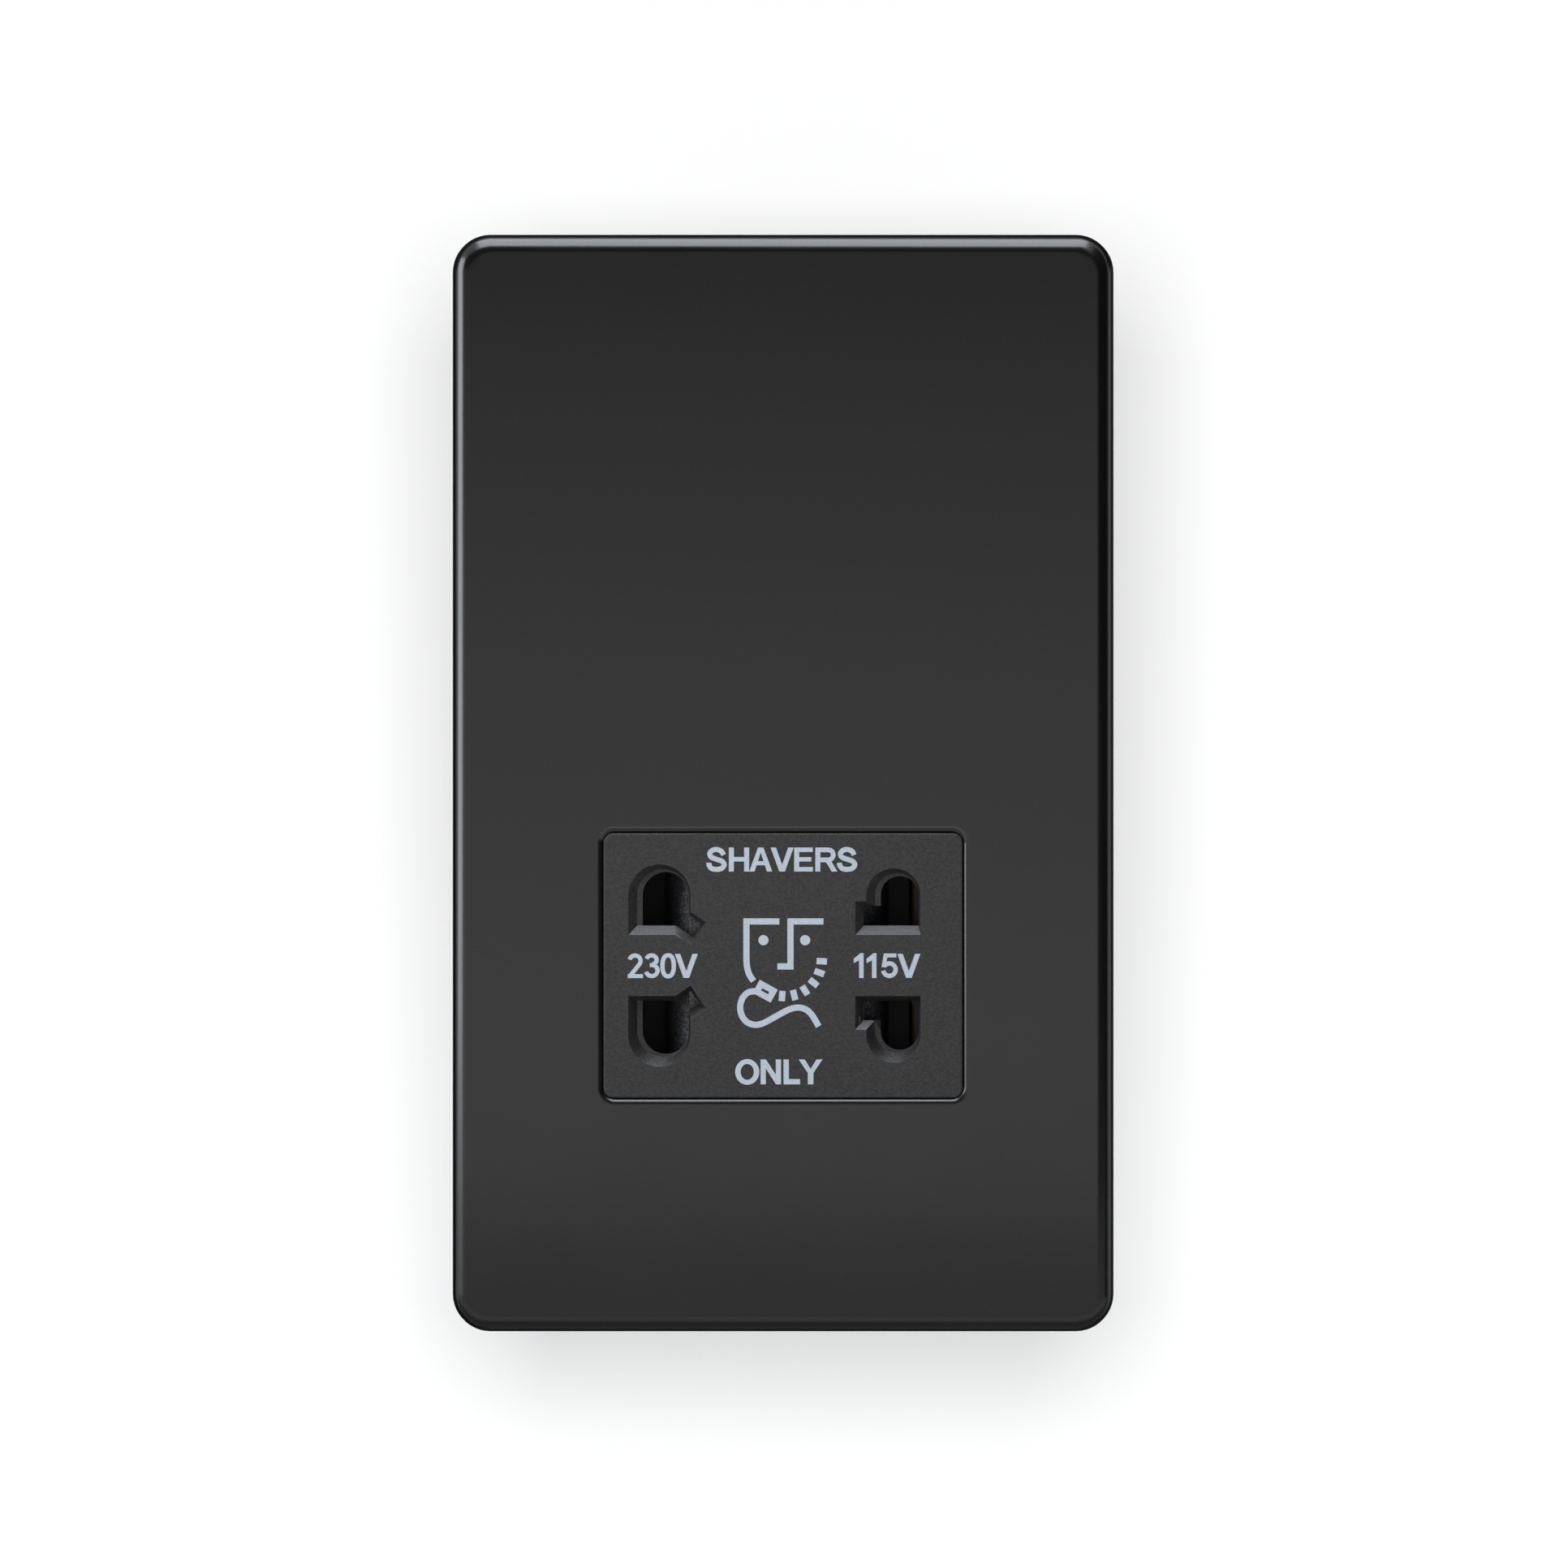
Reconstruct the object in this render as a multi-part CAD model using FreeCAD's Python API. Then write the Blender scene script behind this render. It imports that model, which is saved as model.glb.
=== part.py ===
import FreeCAD, Part
import math
import os
from FreeCAD import Vector

# Dual-voltage shaver socket for a two-gang wall box, in millimetres.
# Seen from the room, X runs to the right and Z up. Y runs into the wall.
# The wall surface is Y = 0, and the origin lies midway between the two fixing holes.

# Front plate: pressed steel with a rolled edge, pushed onto the clip frame
PLATE_WIDTH = 91.0
PLATE_HEIGHT = 151.0
PLATE_DEPTH = 5.7
PLATE_CORNER = 5.2
SHEET = 1.0
EDGE_ROLL = 2.5
APERTURE_GAP = 0.38
APERTURE_ROLL = 0.55
LUG_RADIUS = 0.6
LUG_LENGTH = 5.0
LUG_SETBACK = 0.85
LEVER_WIDTH = 10.0
LEVER_HEIGHT = 1.2

# Rear gasket: flat ring between the plate and the wall
GASKET = 0.8
GASKET_INSET = 0.4
GASKET_BAND = 5.6

# Clip frame: moulded carrier behind the plate. The shares place ribs and clips across the plate.
FRAME_GAP = 0.4
FRAME_FRONT_GAP = 0.15
FRAME_WALL = 1.6
FRAME_ROLL = 1.4
PANEL = 2.0
RIB = 1.2
RIB_SHARE_ACROSS = 0.242
RIB_SHARE_UP = 0.3
CLIP_SHARE_ACROSS = 0.242
CLIP_SHARE_UP = 0.331
TONGUE_WIDTH = 7.0
TONGUE_SLOT = 1.0
TONGUE_RELIEF = 1.4
TONGUE_LENGTH = 3.1
CATCH_DEPTH = 0.85
CATCH_PLAY = 0.2

# Wall fixing: inset from the plate's edge that gives the 120.6 mm centres of a two-gang box
FIXING_INSET = 15.2
FIXING_HOLE = 4.2
FIXING_HEAD = 6.9
FIXING_BOSS = 10.4
FIXING_SEAT = 4.2

# Pin apertures, measured from the middle of the face
HOLE_230_RADIUS = 4.3
HOLE_115_RADIUS = 3.75
HOLE_CENTRE = 9.6
HOLE_FLAT = 4.2
SLANT_ANGLE = 34.0
SLANT_WIDTH = 3.8
SLANT_REACH = 5.34
SLANT_TIP_Z = 4.36
STEP_REACH = 5.28
STEP_BELOW_CENTRE = 0.75
TAPER_DEPTH = 1.6
TAPER_LEFT = 1.2
TAPER_RIGHT = 0.3
TAPER_FACING_UP = 1.3
TAPER_FACING_DOWN = 0.65
TAPER_TIP = 0.35
LEDGE_LEFT = 0.8
LEDGE_CROWN = 0.4
LEDGE_OVERLAP = 0.2

# Socket face: moulded insert that shows through the plate
FACE_SIDE = 3.45
FACE_END = 8.65
FACE_CORNER = 1.35
FACE_ABOVE_EDGE = 32.15
FACE_RECESS = 0.2
FACE_EDGE = 0.3
FACE_WALL = 2.6
SKIRT_WALL = 1.8
SKIRT_GAP = 0.3
LIP_WIDTH = 1.6
LIP_THICK = 1.6
EAR_HEIGHT = 9.0
EAR_CORNER = 3.6
EAR_PAST_SCREW = 3.2
FACE_SCREW_WALL = 2.55

# Interlock slide: pushed aside by the pins of one voltage, it shuts the other pair of apertures
PIN_RADIUS = 2.54
PIN_PLAY = 0.15
TRAVEL = 2.0
SLIDE_SHY = 0.75
SLIDE_THICK = 3.0
SLIDE_GAP = 0.3
SLIDE_CORNER = 1.0
SLIDE_WEB = 1.4
END_WEB_230 = 1.81
END_WEB_115 = 3.61
RAMP_RUN = 3.4
RAMP_RISE = 3.4
RAMP_CREST = 2.8
CREST_LAND = 2.4
WEDGE_NEAR = 2.5
WINDOW_PAST_FLAT = 0.4
WINDOW_PAST_CENTRE = 3.8
POCKET_SHARE = 0.62
POCKET_HEIGHT = 6.0

# Slide springs: bowed strips that centre the slide and close the primary switch
SPRING_THICK = 0.35
SPRING_HEIGHT = 2.2
SPRING_SHY = 1.5
SPRING_PLAY = 0.1
RIVET_HEAD = 1.6
RIVET_HEAD_THICK = 0.35
RIVET_SHANK = 0.8
RIVET_OFFSET = 6.0

# Contact block: moulding that holds the slide, the springs and the brass contacts
BLOCK_END = 4.95
BLOCK_TOP_WALL = 1.2
BLOCK_FLOOR = 2.2
BLOCK_CORNER = 1.5
TRAY_CORNER = 0.5
PASSAGE_WIDTH = 5.8
PASSAGE_CORNER = 1.5
ROOM_WIDTH = 10.4
ROOM_CORNER = 0.8
ROOM_PAST_WINDOW = 2.2
ROOM_BEFORE_WINDOW = 1.2
BRIDGE_ROOM = 3.0
BRIDGE_PLAY = 1.0
RETAINER = 1.5
RETAINER_MARGIN = 2.0

# Brass contacts
BRASS = 0.7
JAW_OPENING = 7.2
JAW_WAIST = 3.8
JAW_MOUTH = 6.0
JAW_DEPTH = 8.4
JAW_PLAY = 0.55
JAW_END_PLAY = 1.1
CONTACT_PLAY = 0.2
TAG_LENGTH = 3.2
TAG_WIDTH = 3.0
TAG_ROOM = 1.0

# Transformer: laminated core with a two-chamber bobbin on its middle leg
STACK = 18.0
CORE_HOLE_SHARE = 0.22
CORE_PLAY = 0.3
CORE_BELOW = 3.5
CORE_ABOVE = 7.0
CORE_BESIDE = 7.3
BOBBIN_WALL = 1.0
BOBBIN_PLAY = 0.2
BOBBIN_FLANGE = 1.0
FLANGE_CORNER = 1.0
FLANGE_PROUD = 0.3
COIL_TO_LEG = 0.8
COIL_CORNER = 3.0
COIL_PLAY = 0.1
COIL_BACK_ROOM = 2.15
TAPE = 0.25
TAPE_SHARE = 0.8
CUTOUT_SHARE_ACROSS = 0.56
CUTOUT_SHARE_UP = 0.6
CUTOUT_THICK = 2.4
CUTOUT_CORNER_SHARE = 0.13
CUTOUT_ROOM = 0.75
WIRE_PIN = 0.45
WIRE_PIN_LENGTH = 2.6
PRIMARY_PIN_SHARE = 0.78
SECONDARY_PIN_SHARE = 0.38

# Rear cover: one shell, deep behind the plate's upper half and shallow behind the contacts
COVER_SIDE = 12.2
COVER_UNDER_BOSS = 3.1
COVER_OVER_BOSS = 1.5
COVER_STEP_RISE = 3.6
COVER_WALL = 2.0
COVER_PLAY = 0.3
COVER_CORNER = 3.5
COVER_EDGE = 1.6
COVER_INSIDE_EDGE = 0.6
COLUMN_RADIUS = 3.8
COLUMN_MERGE = 0.5
SCREW_RADIUS = 1.45
SCREW_HEAD = 2.8
SCREW_HEAD_THICK = 1.8
SCREW_SUNK = 0.6
SCREW_CLEARANCE = 0.2
SCREW_BITE = 3.4
BORE_SPARE = 0.4
SCREW_SLOT = 0.8
CRADLE_RIB = 1.6
CRADLE_GRIP = 5.5
VENT_COUNT = 9
VENT_SHARE_ACROSS = 0.104
VENT_SHARE_UP = 0.65
VENT_OPEN_SHARE = 0.36
ROUND_SHARE = 0.49

# Mains terminals on the back of the cover
POLE_COUNT = 3
POLE_PITCH = 12.4
POLE_ROOM = 8.6
TERMINAL_RISE = 17.6
TERMINAL_HEIGHT = 16.0
TERMINAL_DEPTH = 13.0
TERMINAL_WALL = 2.0
TERMINAL_CORNER = 1.0
FIN = 1.6
FIN_REACH = 2.0
PEG_RADIUS = 1.5
PEG_PLAY = 0.1
BRASS_BODY_DEPTH = 7.6
BRASS_BODY_HEIGHT = 9.0
BRASS_BODY_CORNER = 0.5
WIRE_HOLE = 1.9
WIRE_FUNNEL = 2.9
CLAMP_SCREW = 1.5
CLAMP_PLAY = 0.05
CLAMP_HEAD = 2.8
CLAMP_HEAD_THICK = 1.8
CLAMP_LIFT = 0.8
TAIL_WIDTH = 4.0
TAIL_THICK = 0.8
TAIL_INSIDE = 2.0

# Earth spring: strip on the clip frame that presses on the back of the plate
EARTH_FROM_SIDE = 17.9
EARTH_FROM_TOP = 27.0
EARTH_WIDTH = 5.0
EARTH_FOOT = 7.0
EARTH_ARM = 9.0
EARTH_TIP = 1.2
EARTH_TIP_DROP = 0.5
EARTH_STRIP = 0.4
EARTH_PLAY = 0.05
EARTH_ROOM = 1.0
EARTH_RIVET = 1.4
EARTH_RIVET_HEAD = 2.0
EARTH_HEAD_THICK = 0.5

# Leads inside the cover
LEAD_RADIUS = 0.7
LEAD_BEND = 1.0
LEAD_END_PLAY = 0.05
LEAD_FLOOR_PLAY = 0.1
LEAD_BACK_PLAY = 0.2
LEAD_FRONT_PLAY = 0.5
LEAD_REAR_PLAY = 0.6
LEAD_LOOP = 2.0
LEAD_TAG_PLAY = 0.8
LEAD_NOTCH_PLAY = 0.6
CROSSING_DROP = 2.0

# Plate, wall fixing and cover, as seen from the front
fixing_z = PLATE_HEIGHT / 2 - FIXING_INSET
cover_top = fixing_z - FIXING_BOSS / 2 - COVER_UNDER_BOSS
cover_bottom = -(fixing_z - FIXING_BOSS / 2 - COVER_OVER_BOSS)
cover_width = PLATE_WIDTH - 2 * COVER_SIDE
cover_z = (cover_top + cover_bottom) / 2
cover_height = cover_top - cover_bottom
rim_x = PLATE_WIDTH / 2 - SHEET
rim_z = PLATE_HEIGHT / 2 - SHEET
frame_width = 2 * (rim_x - FRAME_GAP)
frame_height = 2 * (rim_z - FRAME_GAP)
frame_corner = PLATE_CORNER - SHEET - FRAME_GAP
column_x = cover_width / 2 - COVER_WALL - COLUMN_RADIUS + COLUMN_MERGE
column_top = cover_top - COVER_WALL - COLUMN_RADIUS + COLUMN_MERGE
column_bottom = cover_bottom + COVER_WALL + COLUMN_RADIUS - COLUMN_MERGE
earth_x = PLATE_WIDTH / 2 - EARTH_FROM_SIDE
earth_z = cover_top - EARTH_FROM_TOP

# Contact block, slide and socket face across the plate: each fits into the one before
block_width = cover_width - 2 * (COVER_WALL + COVER_PLAY)
tray_half = block_width / 2 - BLOCK_END
slide_width = 2 * (tray_half - TRAVEL - SPRING_THICK - 2 * SPRING_PLAY)
pin_reach = PIN_RADIUS + PIN_PLAY
hole_230_x = -(slide_width / 2 - END_WEB_230 - pin_reach - TRAVEL)
hole_115_x = slide_width / 2 - END_WEB_115 - pin_reach - TRAVEL
face_screw_x = tray_half + FACE_SCREW_WALL
face_width = 2 * (FACE_SIDE + HOLE_230_RADIUS - hole_230_x)

# The same pieces up the plate: each encloses the one before
window_near = HOLE_FLAT + WINDOW_PAST_FLAT
window_far = HOLE_CENTRE + WINDOW_PAST_CENTRE
room_near = window_near - ROOM_BEFORE_WINDOW
room_far = window_far + ROOM_PAST_WINDOW
room_z = (room_near + room_far) / 2
web_z = room_far - JAW_END_PLAY - BRASS / 2
face_height = 2 * (HOLE_CENTRE + FACE_END)
slide_height = face_height - 2 * SLIDE_SHY
tray_height = slide_height + 2 * SLIDE_GAP
block_height = tray_height + 2 * BLOCK_TOP_WALL
spring_span = slide_height - 2 * SPRING_SHY
face_z = FACE_ABOVE_EDGE + face_height / 2 - PLATE_HEIGHT / 2
cover_step = face_z + block_height / 2 + COVER_STEP_RISE
deep_z = (cover_top + cover_step) / 2
deep_height = cover_top - cover_step
terminal_z = cover_bottom + TERMINAL_RISE

# Laminations: the largest of the usual proportions, 6 yokes by 5, that the deep part holds
core_low = cover_step + COVER_WALL + CORE_BELOW
core_high = cover_top - COVER_WALL - CORE_ABOVE
yoke = min((core_high - core_low) / 5, (cover_width - 2 * (COVER_WALL + CORE_BESIDE)) / 6)
leg = 2 * yoke
window_width = yoke
window_length = 3 * yoke
core_width = 6 * yoke
core_height = 5 * yoke
core_z = (core_low + core_high) / 2
leg_x = core_width / 2 - yoke / 2
coil_thick = window_width - BOBBIN_PLAY - BOBBIN_WALL - COIL_TO_LEG
coil_reach = BOBBIN_PLAY + BOBBIN_WALL + coil_thick
flange_reach = coil_reach + TAPE + FLANGE_PROUD

# Planes along Y, from the plate's front to the cover's back
rim_end = -GASKET
plate_front = rim_end - PLATE_DEPTH
plate_back = plate_front + SHEET
frame_front = plate_back + FRAME_FRONT_GAP
panel_front = rim_end - PANEL
lip_front = panel_front - LIP_THICK
face_front = plate_front + FACE_RECESS
face_ledge = face_front + TAPER_DEPTH
face_inside = face_front + FACE_WALL
slide_front = rim_end + SLIDE_GAP
slide_back = slide_front + SLIDE_THICK
tray_floor = slide_back + SLIDE_GAP
room_front = tray_floor + BLOCK_FLOOR
block_back = room_front + JAW_PLAY + JAW_DEPTH + BRASS / 2 + CONTACT_PLAY
retainer_back = block_back + RETAINER
shallow_inside = retainer_back + TAG_LENGTH + TAG_ROOM
cover_shallow = shallow_inside + COVER_WALL
cutout_back = rim_end + CUTOUT_ROOM + CUTOUT_THICK
core_front = cutout_back + COIL_PLAY + TAPE + coil_reach
core_back = core_front + STACK
core_y = core_front + STACK / 2
flange_back = core_back + flange_reach
cover_inside = flange_back + COIL_BACK_ROOM
cover_deep = cover_inside + COVER_WALL
wire_pin_y = (core_back + flange_back) / 2
terminal_front = cover_shallow + TERMINAL_WALL
terminal_back = cover_shallow + TERMINAL_DEPTH

# Where the leads run
lead_floor = cover_step + COVER_WALL + LEAD_RADIUS + LEAD_FLOOR_PLAY
lead_back = shallow_inside - LEAD_RADIUS - LEAD_BACK_PLAY
lead_front = retainer_back + LEAD_RADIUS + LEAD_FRONT_PLAY
lead_rear = cover_inside - LEAD_RADIUS - LEAD_REAR_PLAY


# General shapes

def block(width, height, front, back, corner=0.0, x=0.0, z=0.0):
    """Box between two Y planes about the point x, z, with round corners seen from the front."""
    solid = Part.makeBox(width, back - front, height, Vector(x - width / 2, front, z - height / 2))
    if corner > 0:
        upright = [edge for edge in solid.Edges if abs(edge.tangentAt(edge.FirstParameter).y) > 0.99]
        solid = solid.makeFillet(corner, upright)
    return solid


def rod(radius, front, back, x=0.0, z=0.0):
    """Round bar along Y."""
    return Part.makeCylinder(radius, back - front, Vector(x, front, z), Vector(0, 1, 0))


def prism(outline, axis, start, end):
    """Closed outline pulled along one axis. Its pairs are the two other axes, in X, Y, Z order."""
    place = {
        "x": lambda a, b: Vector(start, a, b),
        "y": lambda a, b: Vector(a, start, b),
        "z": lambda a, b: Vector(a, b, start),
    }[axis]
    pull = {"x": Vector(1, 0, 0), "y": Vector(0, 1, 0), "z": Vector(0, 0, 1)}[axis] * (end - start)
    corners = [place(a, b) for a, b in outline]
    return Part.Face(Part.makePolygon(corners + corners[:1])).extrude(pull)


def ribbon(path, thickness):
    """Outline of a strip of even thickness that follows an open path, mitred at its bends."""
    half = thickness / 2
    sides = []
    for i, point in enumerate(path):
        before = path[max(i - 1, 0)]
        after = path[min(i + 1, len(path) - 1)]
        first = unit(before, point) if i > 0 else unit(point, after)
        second = unit(point, after) if i < len(path) - 1 else first
        lean = (-first[1] - second[1], first[0] + second[0])
        length = math.hypot(*lean)
        normal = (lean[0] / length, lean[1] / length)
        reach = half / (normal[1] * first[0] - normal[0] * first[1])
        sides.append((point, (normal[0] * reach, normal[1] * reach)))
    left = [(p[0] + n[0], p[1] + n[1]) for p, n in sides]
    right = [(p[0] - n[0], p[1] - n[1]) for p, n in reversed(sides)]
    return left + right


def unit(start, end):
    """Direction from one point of a plane to another."""
    length = math.hypot(end[0] - start[0], end[1] - start[1])
    return (end[0] - start[0]) / length, (end[1] - start[1]) / length


def edges_in_plane(solid, y, half_width=1000.0, half_height=1000.0, z=0.0):
    """Edges that lie in the plane Y = y, within a window about the middle at height z."""
    found = []
    for edge in solid.Edges:
        first, last = edge.ParameterRange
        points = [edge.valueAt(first), edge.valueAt((first + last) / 2), edge.valueAt(last)]
        flat = all(abs(point.y - y) < 1e-5 for point in points)
        inside = all(abs(p.x) < half_width and abs(p.z - z) < half_height for p in points)
        if flat and inside:
            found.append(edge)
    return found


def join(solids):
    """One solid out of several that meet."""
    whole = solids[0]
    for solid in solids[1:]:
        whole = whole.fuse(solid)
    return whole.removeSplitter()


def slotted_screw(radius, head, head_thick, x, z, tip, seat):
    """Screw along Y with its tip in front, its head behind the seat and a slot across the head."""
    shank = rod(radius, tip, seat, x, z)
    cap = rod(head, seat, seat + head_thick, x, z)
    slot = block(2 * head + SCREW_SLOT, SCREW_SLOT, seat + head_thick / 2, seat + 2 * head_thick, x=x, z=z)
    return shank.fuse(cap).cut(slot)


# Snap clips between the plate and the frame

def clip_sites():
    """Each clip's middle on the plate's inner rim, with the direction that points out of the plate."""
    sites = []
    for side in (-1, 1):
        for share in (-CLIP_SHARE_UP, 0, CLIP_SHARE_UP):
            sites.append((side * rim_x, share * PLATE_HEIGHT, side, 0))
        for share in (-CLIP_SHARE_ACROSS, CLIP_SHARE_ACROSS):
            sites.append((share * PLATE_WIDTH, side * rim_z, 0, side))
    return sites


def clip_block(site, length, inward, outward, front, back):
    """Box at a clip, from a depth inside the rim's inner face to a height outside it."""
    x, z, out_x, out_z = site
    middle = (outward - inward) / 2
    depth = inward + outward
    width = depth if out_x else length
    height = length if out_x else depth
    return block(width, height, front, back, x=x + out_x * middle, z=z + out_z * middle)


def clip_lug(site):
    """Round lug pressed inward from the plate's rim."""
    x, z, out_x, out_z = site
    half = LUG_LENGTH / 2
    start = Vector(x - abs(out_z) * half, rim_end - LUG_SETBACK, z - abs(out_x) * half)
    return Part.makeCylinder(LUG_RADIUS, LUG_LENGTH, start, Vector(abs(out_z), 0, abs(out_x)))


# Outer pieces

def front_plate():
    outer = block(PLATE_WIDTH, PLATE_HEIGHT, plate_front, rim_end, PLATE_CORNER)
    outer = outer.makeFillet(EDGE_ROLL, edges_in_plane(outer, plate_front))
    inner = block(2 * rim_x, 2 * rim_z, plate_back, rim_end, PLATE_CORNER - SHEET)
    inner = inner.makeFillet(EDGE_ROLL - SHEET, edges_in_plane(inner, plate_back))
    width = face_width + 2 * APERTURE_GAP
    height = face_height + 2 * APERTURE_GAP
    corner = FACE_CORNER + APERTURE_GAP
    aperture = block(width, height, plate_front, plate_back, corner, z=face_z)
    tray = outer.cut(inner).cut(aperture)
    rim = edges_in_plane(tray, plate_front, width / 2 + APERTURE_GAP, height / 2 + APERTURE_GAP, face_z)
    tray = tray.makeFillet(APERTURE_ROLL, rim)
    lever_slot = block(LEVER_WIDTH, 2 * SHEET, rim_end - LEVER_HEIGHT, rim_end, z=-PLATE_HEIGHT / 2)
    return join([tray.cut(lever_slot)] + [clip_lug(site) for site in clip_sites()])


def rear_gasket():
    width = PLATE_WIDTH - 2 * GASKET_INSET
    height = PLATE_HEIGHT - 2 * GASKET_INSET
    corner = PLATE_CORNER - GASKET_INSET
    sheet = block(width, height, rim_end, 0, corner)
    band = 2 * GASKET_BAND
    return sheet.cut(block(width - band, height - band, rim_end, 0, corner / 2))


def frame_tray():
    """Perimeter wall and rear panel of the clip frame, with the ribs that back the plate."""
    body = block(frame_width, frame_height, frame_front, rim_end, frame_corner)
    body = body.makeFillet(FRAME_ROLL, edges_in_plane(body, frame_front))
    inside_width = frame_width - 2 * FRAME_WALL
    inside_height = frame_height - 2 * FRAME_WALL
    body = body.cut(block(inside_width, inside_height, frame_front, panel_front, frame_corner - FRAME_WALL))
    ribs = []
    for side in (-1, 1):
        upper = core_z + side * RIB_SHARE_UP * core_height
        ribs.append(block(inside_width, RIB, frame_front, panel_front, z=upper))
        ribs.append(block(inside_width, RIB, frame_front, panel_front, z=side * fixing_z))
        across = side * RIB_SHARE_ACROSS * PLATE_WIDTH
        ribs.append(block(RIB, inside_height, frame_front, panel_front, x=across))
    clear = 2 * (face_screw_x + EAR_PAST_SCREW + FRAME_GAP)
    module = block(clear, face_height + 4 * LIP_WIDTH, frame_front, panel_front, z=face_z)
    earth = earth_clearance()
    return join([body] + [rib.cut(module).cut(earth) for rib in ribs])


def clip_frame():
    frame = frame_tray()
    bosses = [rod(FIXING_BOSS / 2, rim_end - FIXING_SEAT + GASKET, 0, z=z) for z in fixing_heights()]
    bosses += [rod(COLUMN_RADIUS, frame_front, panel_front, x, z) for x, z, _ in cover_screw_sites()]
    rest_width = yoke / 2
    for side in (-1, 1):
        x = side * leg_x
        bosses.append(block(rest_width, core_height, rim_end, core_front - CORE_PLAY, x=x, z=core_z))
    frame = join([frame] + bosses)
    window = block(face_width + 2 * SKIRT_GAP, face_height + 2 * SKIRT_GAP, panel_front, rim_end,
                   FACE_CORNER + SKIRT_GAP, z=face_z)
    cuts = [window]
    for x in face_screw_sites():
        cuts.append(rod(SCREW_RADIUS + SCREW_CLEARANCE, panel_front, rim_end, x, face_z))
    bore_end = rim_end - SCREW_BITE - BORE_SPARE
    cuts += [rod(SCREW_RADIUS, bore_end, rim_end, x, z) for x, z, _ in cover_screw_sites()]
    cuts.append(rod(EARTH_RIVET, panel_front, rim_end, earth_x, earth_z))
    for z in fixing_heights():
        seat = rim_end - FIXING_SEAT + GASKET
        cuts.append(rod(FIXING_HOLE / 2, seat, 0, z=z))
        cuts.append(rod(FIXING_BOSS / 2, frame_front, seat, z=z))
        sink = (FIXING_HEAD - FIXING_HOLE) / 2
        top = Vector(0, seat, z)
        cuts.append(Part.makeCone(FIXING_HEAD / 2, FIXING_HOLE / 2, sink, top, Vector(0, 1, 0)))
    for site in clip_sites():
        cuts += snap_cuts(site)
    for cut in cuts:
        frame = frame.cut(cut)
    return frame.removeSplitter()


def snap_cuts(site):
    """Pocket for the plate's lug, and the three slots that free the springy tongue around it."""
    shoulder = rim_end - LUG_SETBACK - LUG_RADIUS - CATCH_PLAY
    tongue_root = rim_end - TONGUE_LENGTH
    inner = FRAME_GAP + FRAME_WALL
    pocket = clip_block(site, LUG_LENGTH + 2 * CATCH_PLAY, CATCH_DEPTH, 0, shoulder, rim_end)
    relief_length = TONGUE_WIDTH + 2 * TONGUE_SLOT
    relief = clip_block(site, relief_length, inner + TONGUE_RELIEF, -inner, panel_front, rim_end)
    slots = []
    for side in (-1, 1):
        shift = side * (TONGUE_WIDTH + TONGUE_SLOT) / 2
        beside = (site[0] + shift * abs(site[3]), site[1] + shift * abs(site[2]), site[2], site[3])
        slots.append(clip_block(beside, TONGUE_SLOT, inner, 0, tongue_root, rim_end))
    return [pocket, relief] + slots


def fixing_heights():
    return (-fixing_z, fixing_z)


def face_screw_sites():
    return (-face_screw_x, face_screw_x)


def cover_screw_sites():
    """Screw columns of the rear cover: x, z and the plane of the cover's back there."""
    sites = []
    for x in (-column_x, column_x):
        sites.append((x, column_top, cover_deep))
        sites.append((x, column_bottom, cover_shallow))
    return sites


# Socket face and its pin apertures

def aperture_insets(flip, depth):
    """How far each side of an aperture has moved in: 0 at the mouth, 1 at the ledge, 2 below it."""
    facing_flat = TAPER_FACING_UP if flip > 0 else TAPER_FACING_DOWN
    facing_crown = TAPER_FACING_DOWN if flip > 0 else TAPER_FACING_UP
    taper = 1 if depth > 0 else 0
    ledge = 1 if depth > 1 else 0
    return {
        "left": TAPER_LEFT * taper,
        "right": TAPER_RIGHT * taper,
        "flat": facing_flat * taper,
        "crown": facing_crown * taper,
        "tip": TAPER_TIP * taper,
        "ledge_left": LEDGE_LEFT * ledge,
        "ledge_crown": LEDGE_CROWN * ledge,
    }


def slanted_outline(flip, depth):
    """Aperture for 230 V: round outer end, flat inner end and a slanted arm for angled flat pins."""
    inset = aperture_insets(flip, depth)
    left = hole_230_x - HOLE_230_RADIUS + inset["left"] + inset["ledge_left"]
    right = hole_230_x + HOLE_230_RADIUS - inset["right"]
    flat = HOLE_FLAT + inset["flat"]
    crown = HOLE_CENTRE + HOLE_230_RADIUS - inset["crown"] - inset["ledge_crown"]
    cos = math.cos(math.radians(SLANT_ANGLE))
    sin = math.sin(math.radians(SLANT_ANGLE))
    tip_x = hole_230_x + SLANT_REACH - inset["tip"] * cos
    tip_z = SLANT_TIP_Z + inset["tip"] * sin
    far = SLANT_WIDTH / 2 - inset["crown"] * cos
    near = SLANT_WIDTH / 2 - inset["flat"] * cos
    tip_far = (tip_x + far * sin, tip_z + far * cos)
    tip_near = (tip_x - near * sin, tip_z - near * cos)
    root_far = (right, tip_far[1] + (tip_far[0] - right) * sin / cos)
    root_near = (tip_near[0] - (flat - tip_near[1]) * cos / sin, flat)
    return [(left, flat)], round_end(left, right, crown), [root_far, tip_far, tip_near, root_near]


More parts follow.
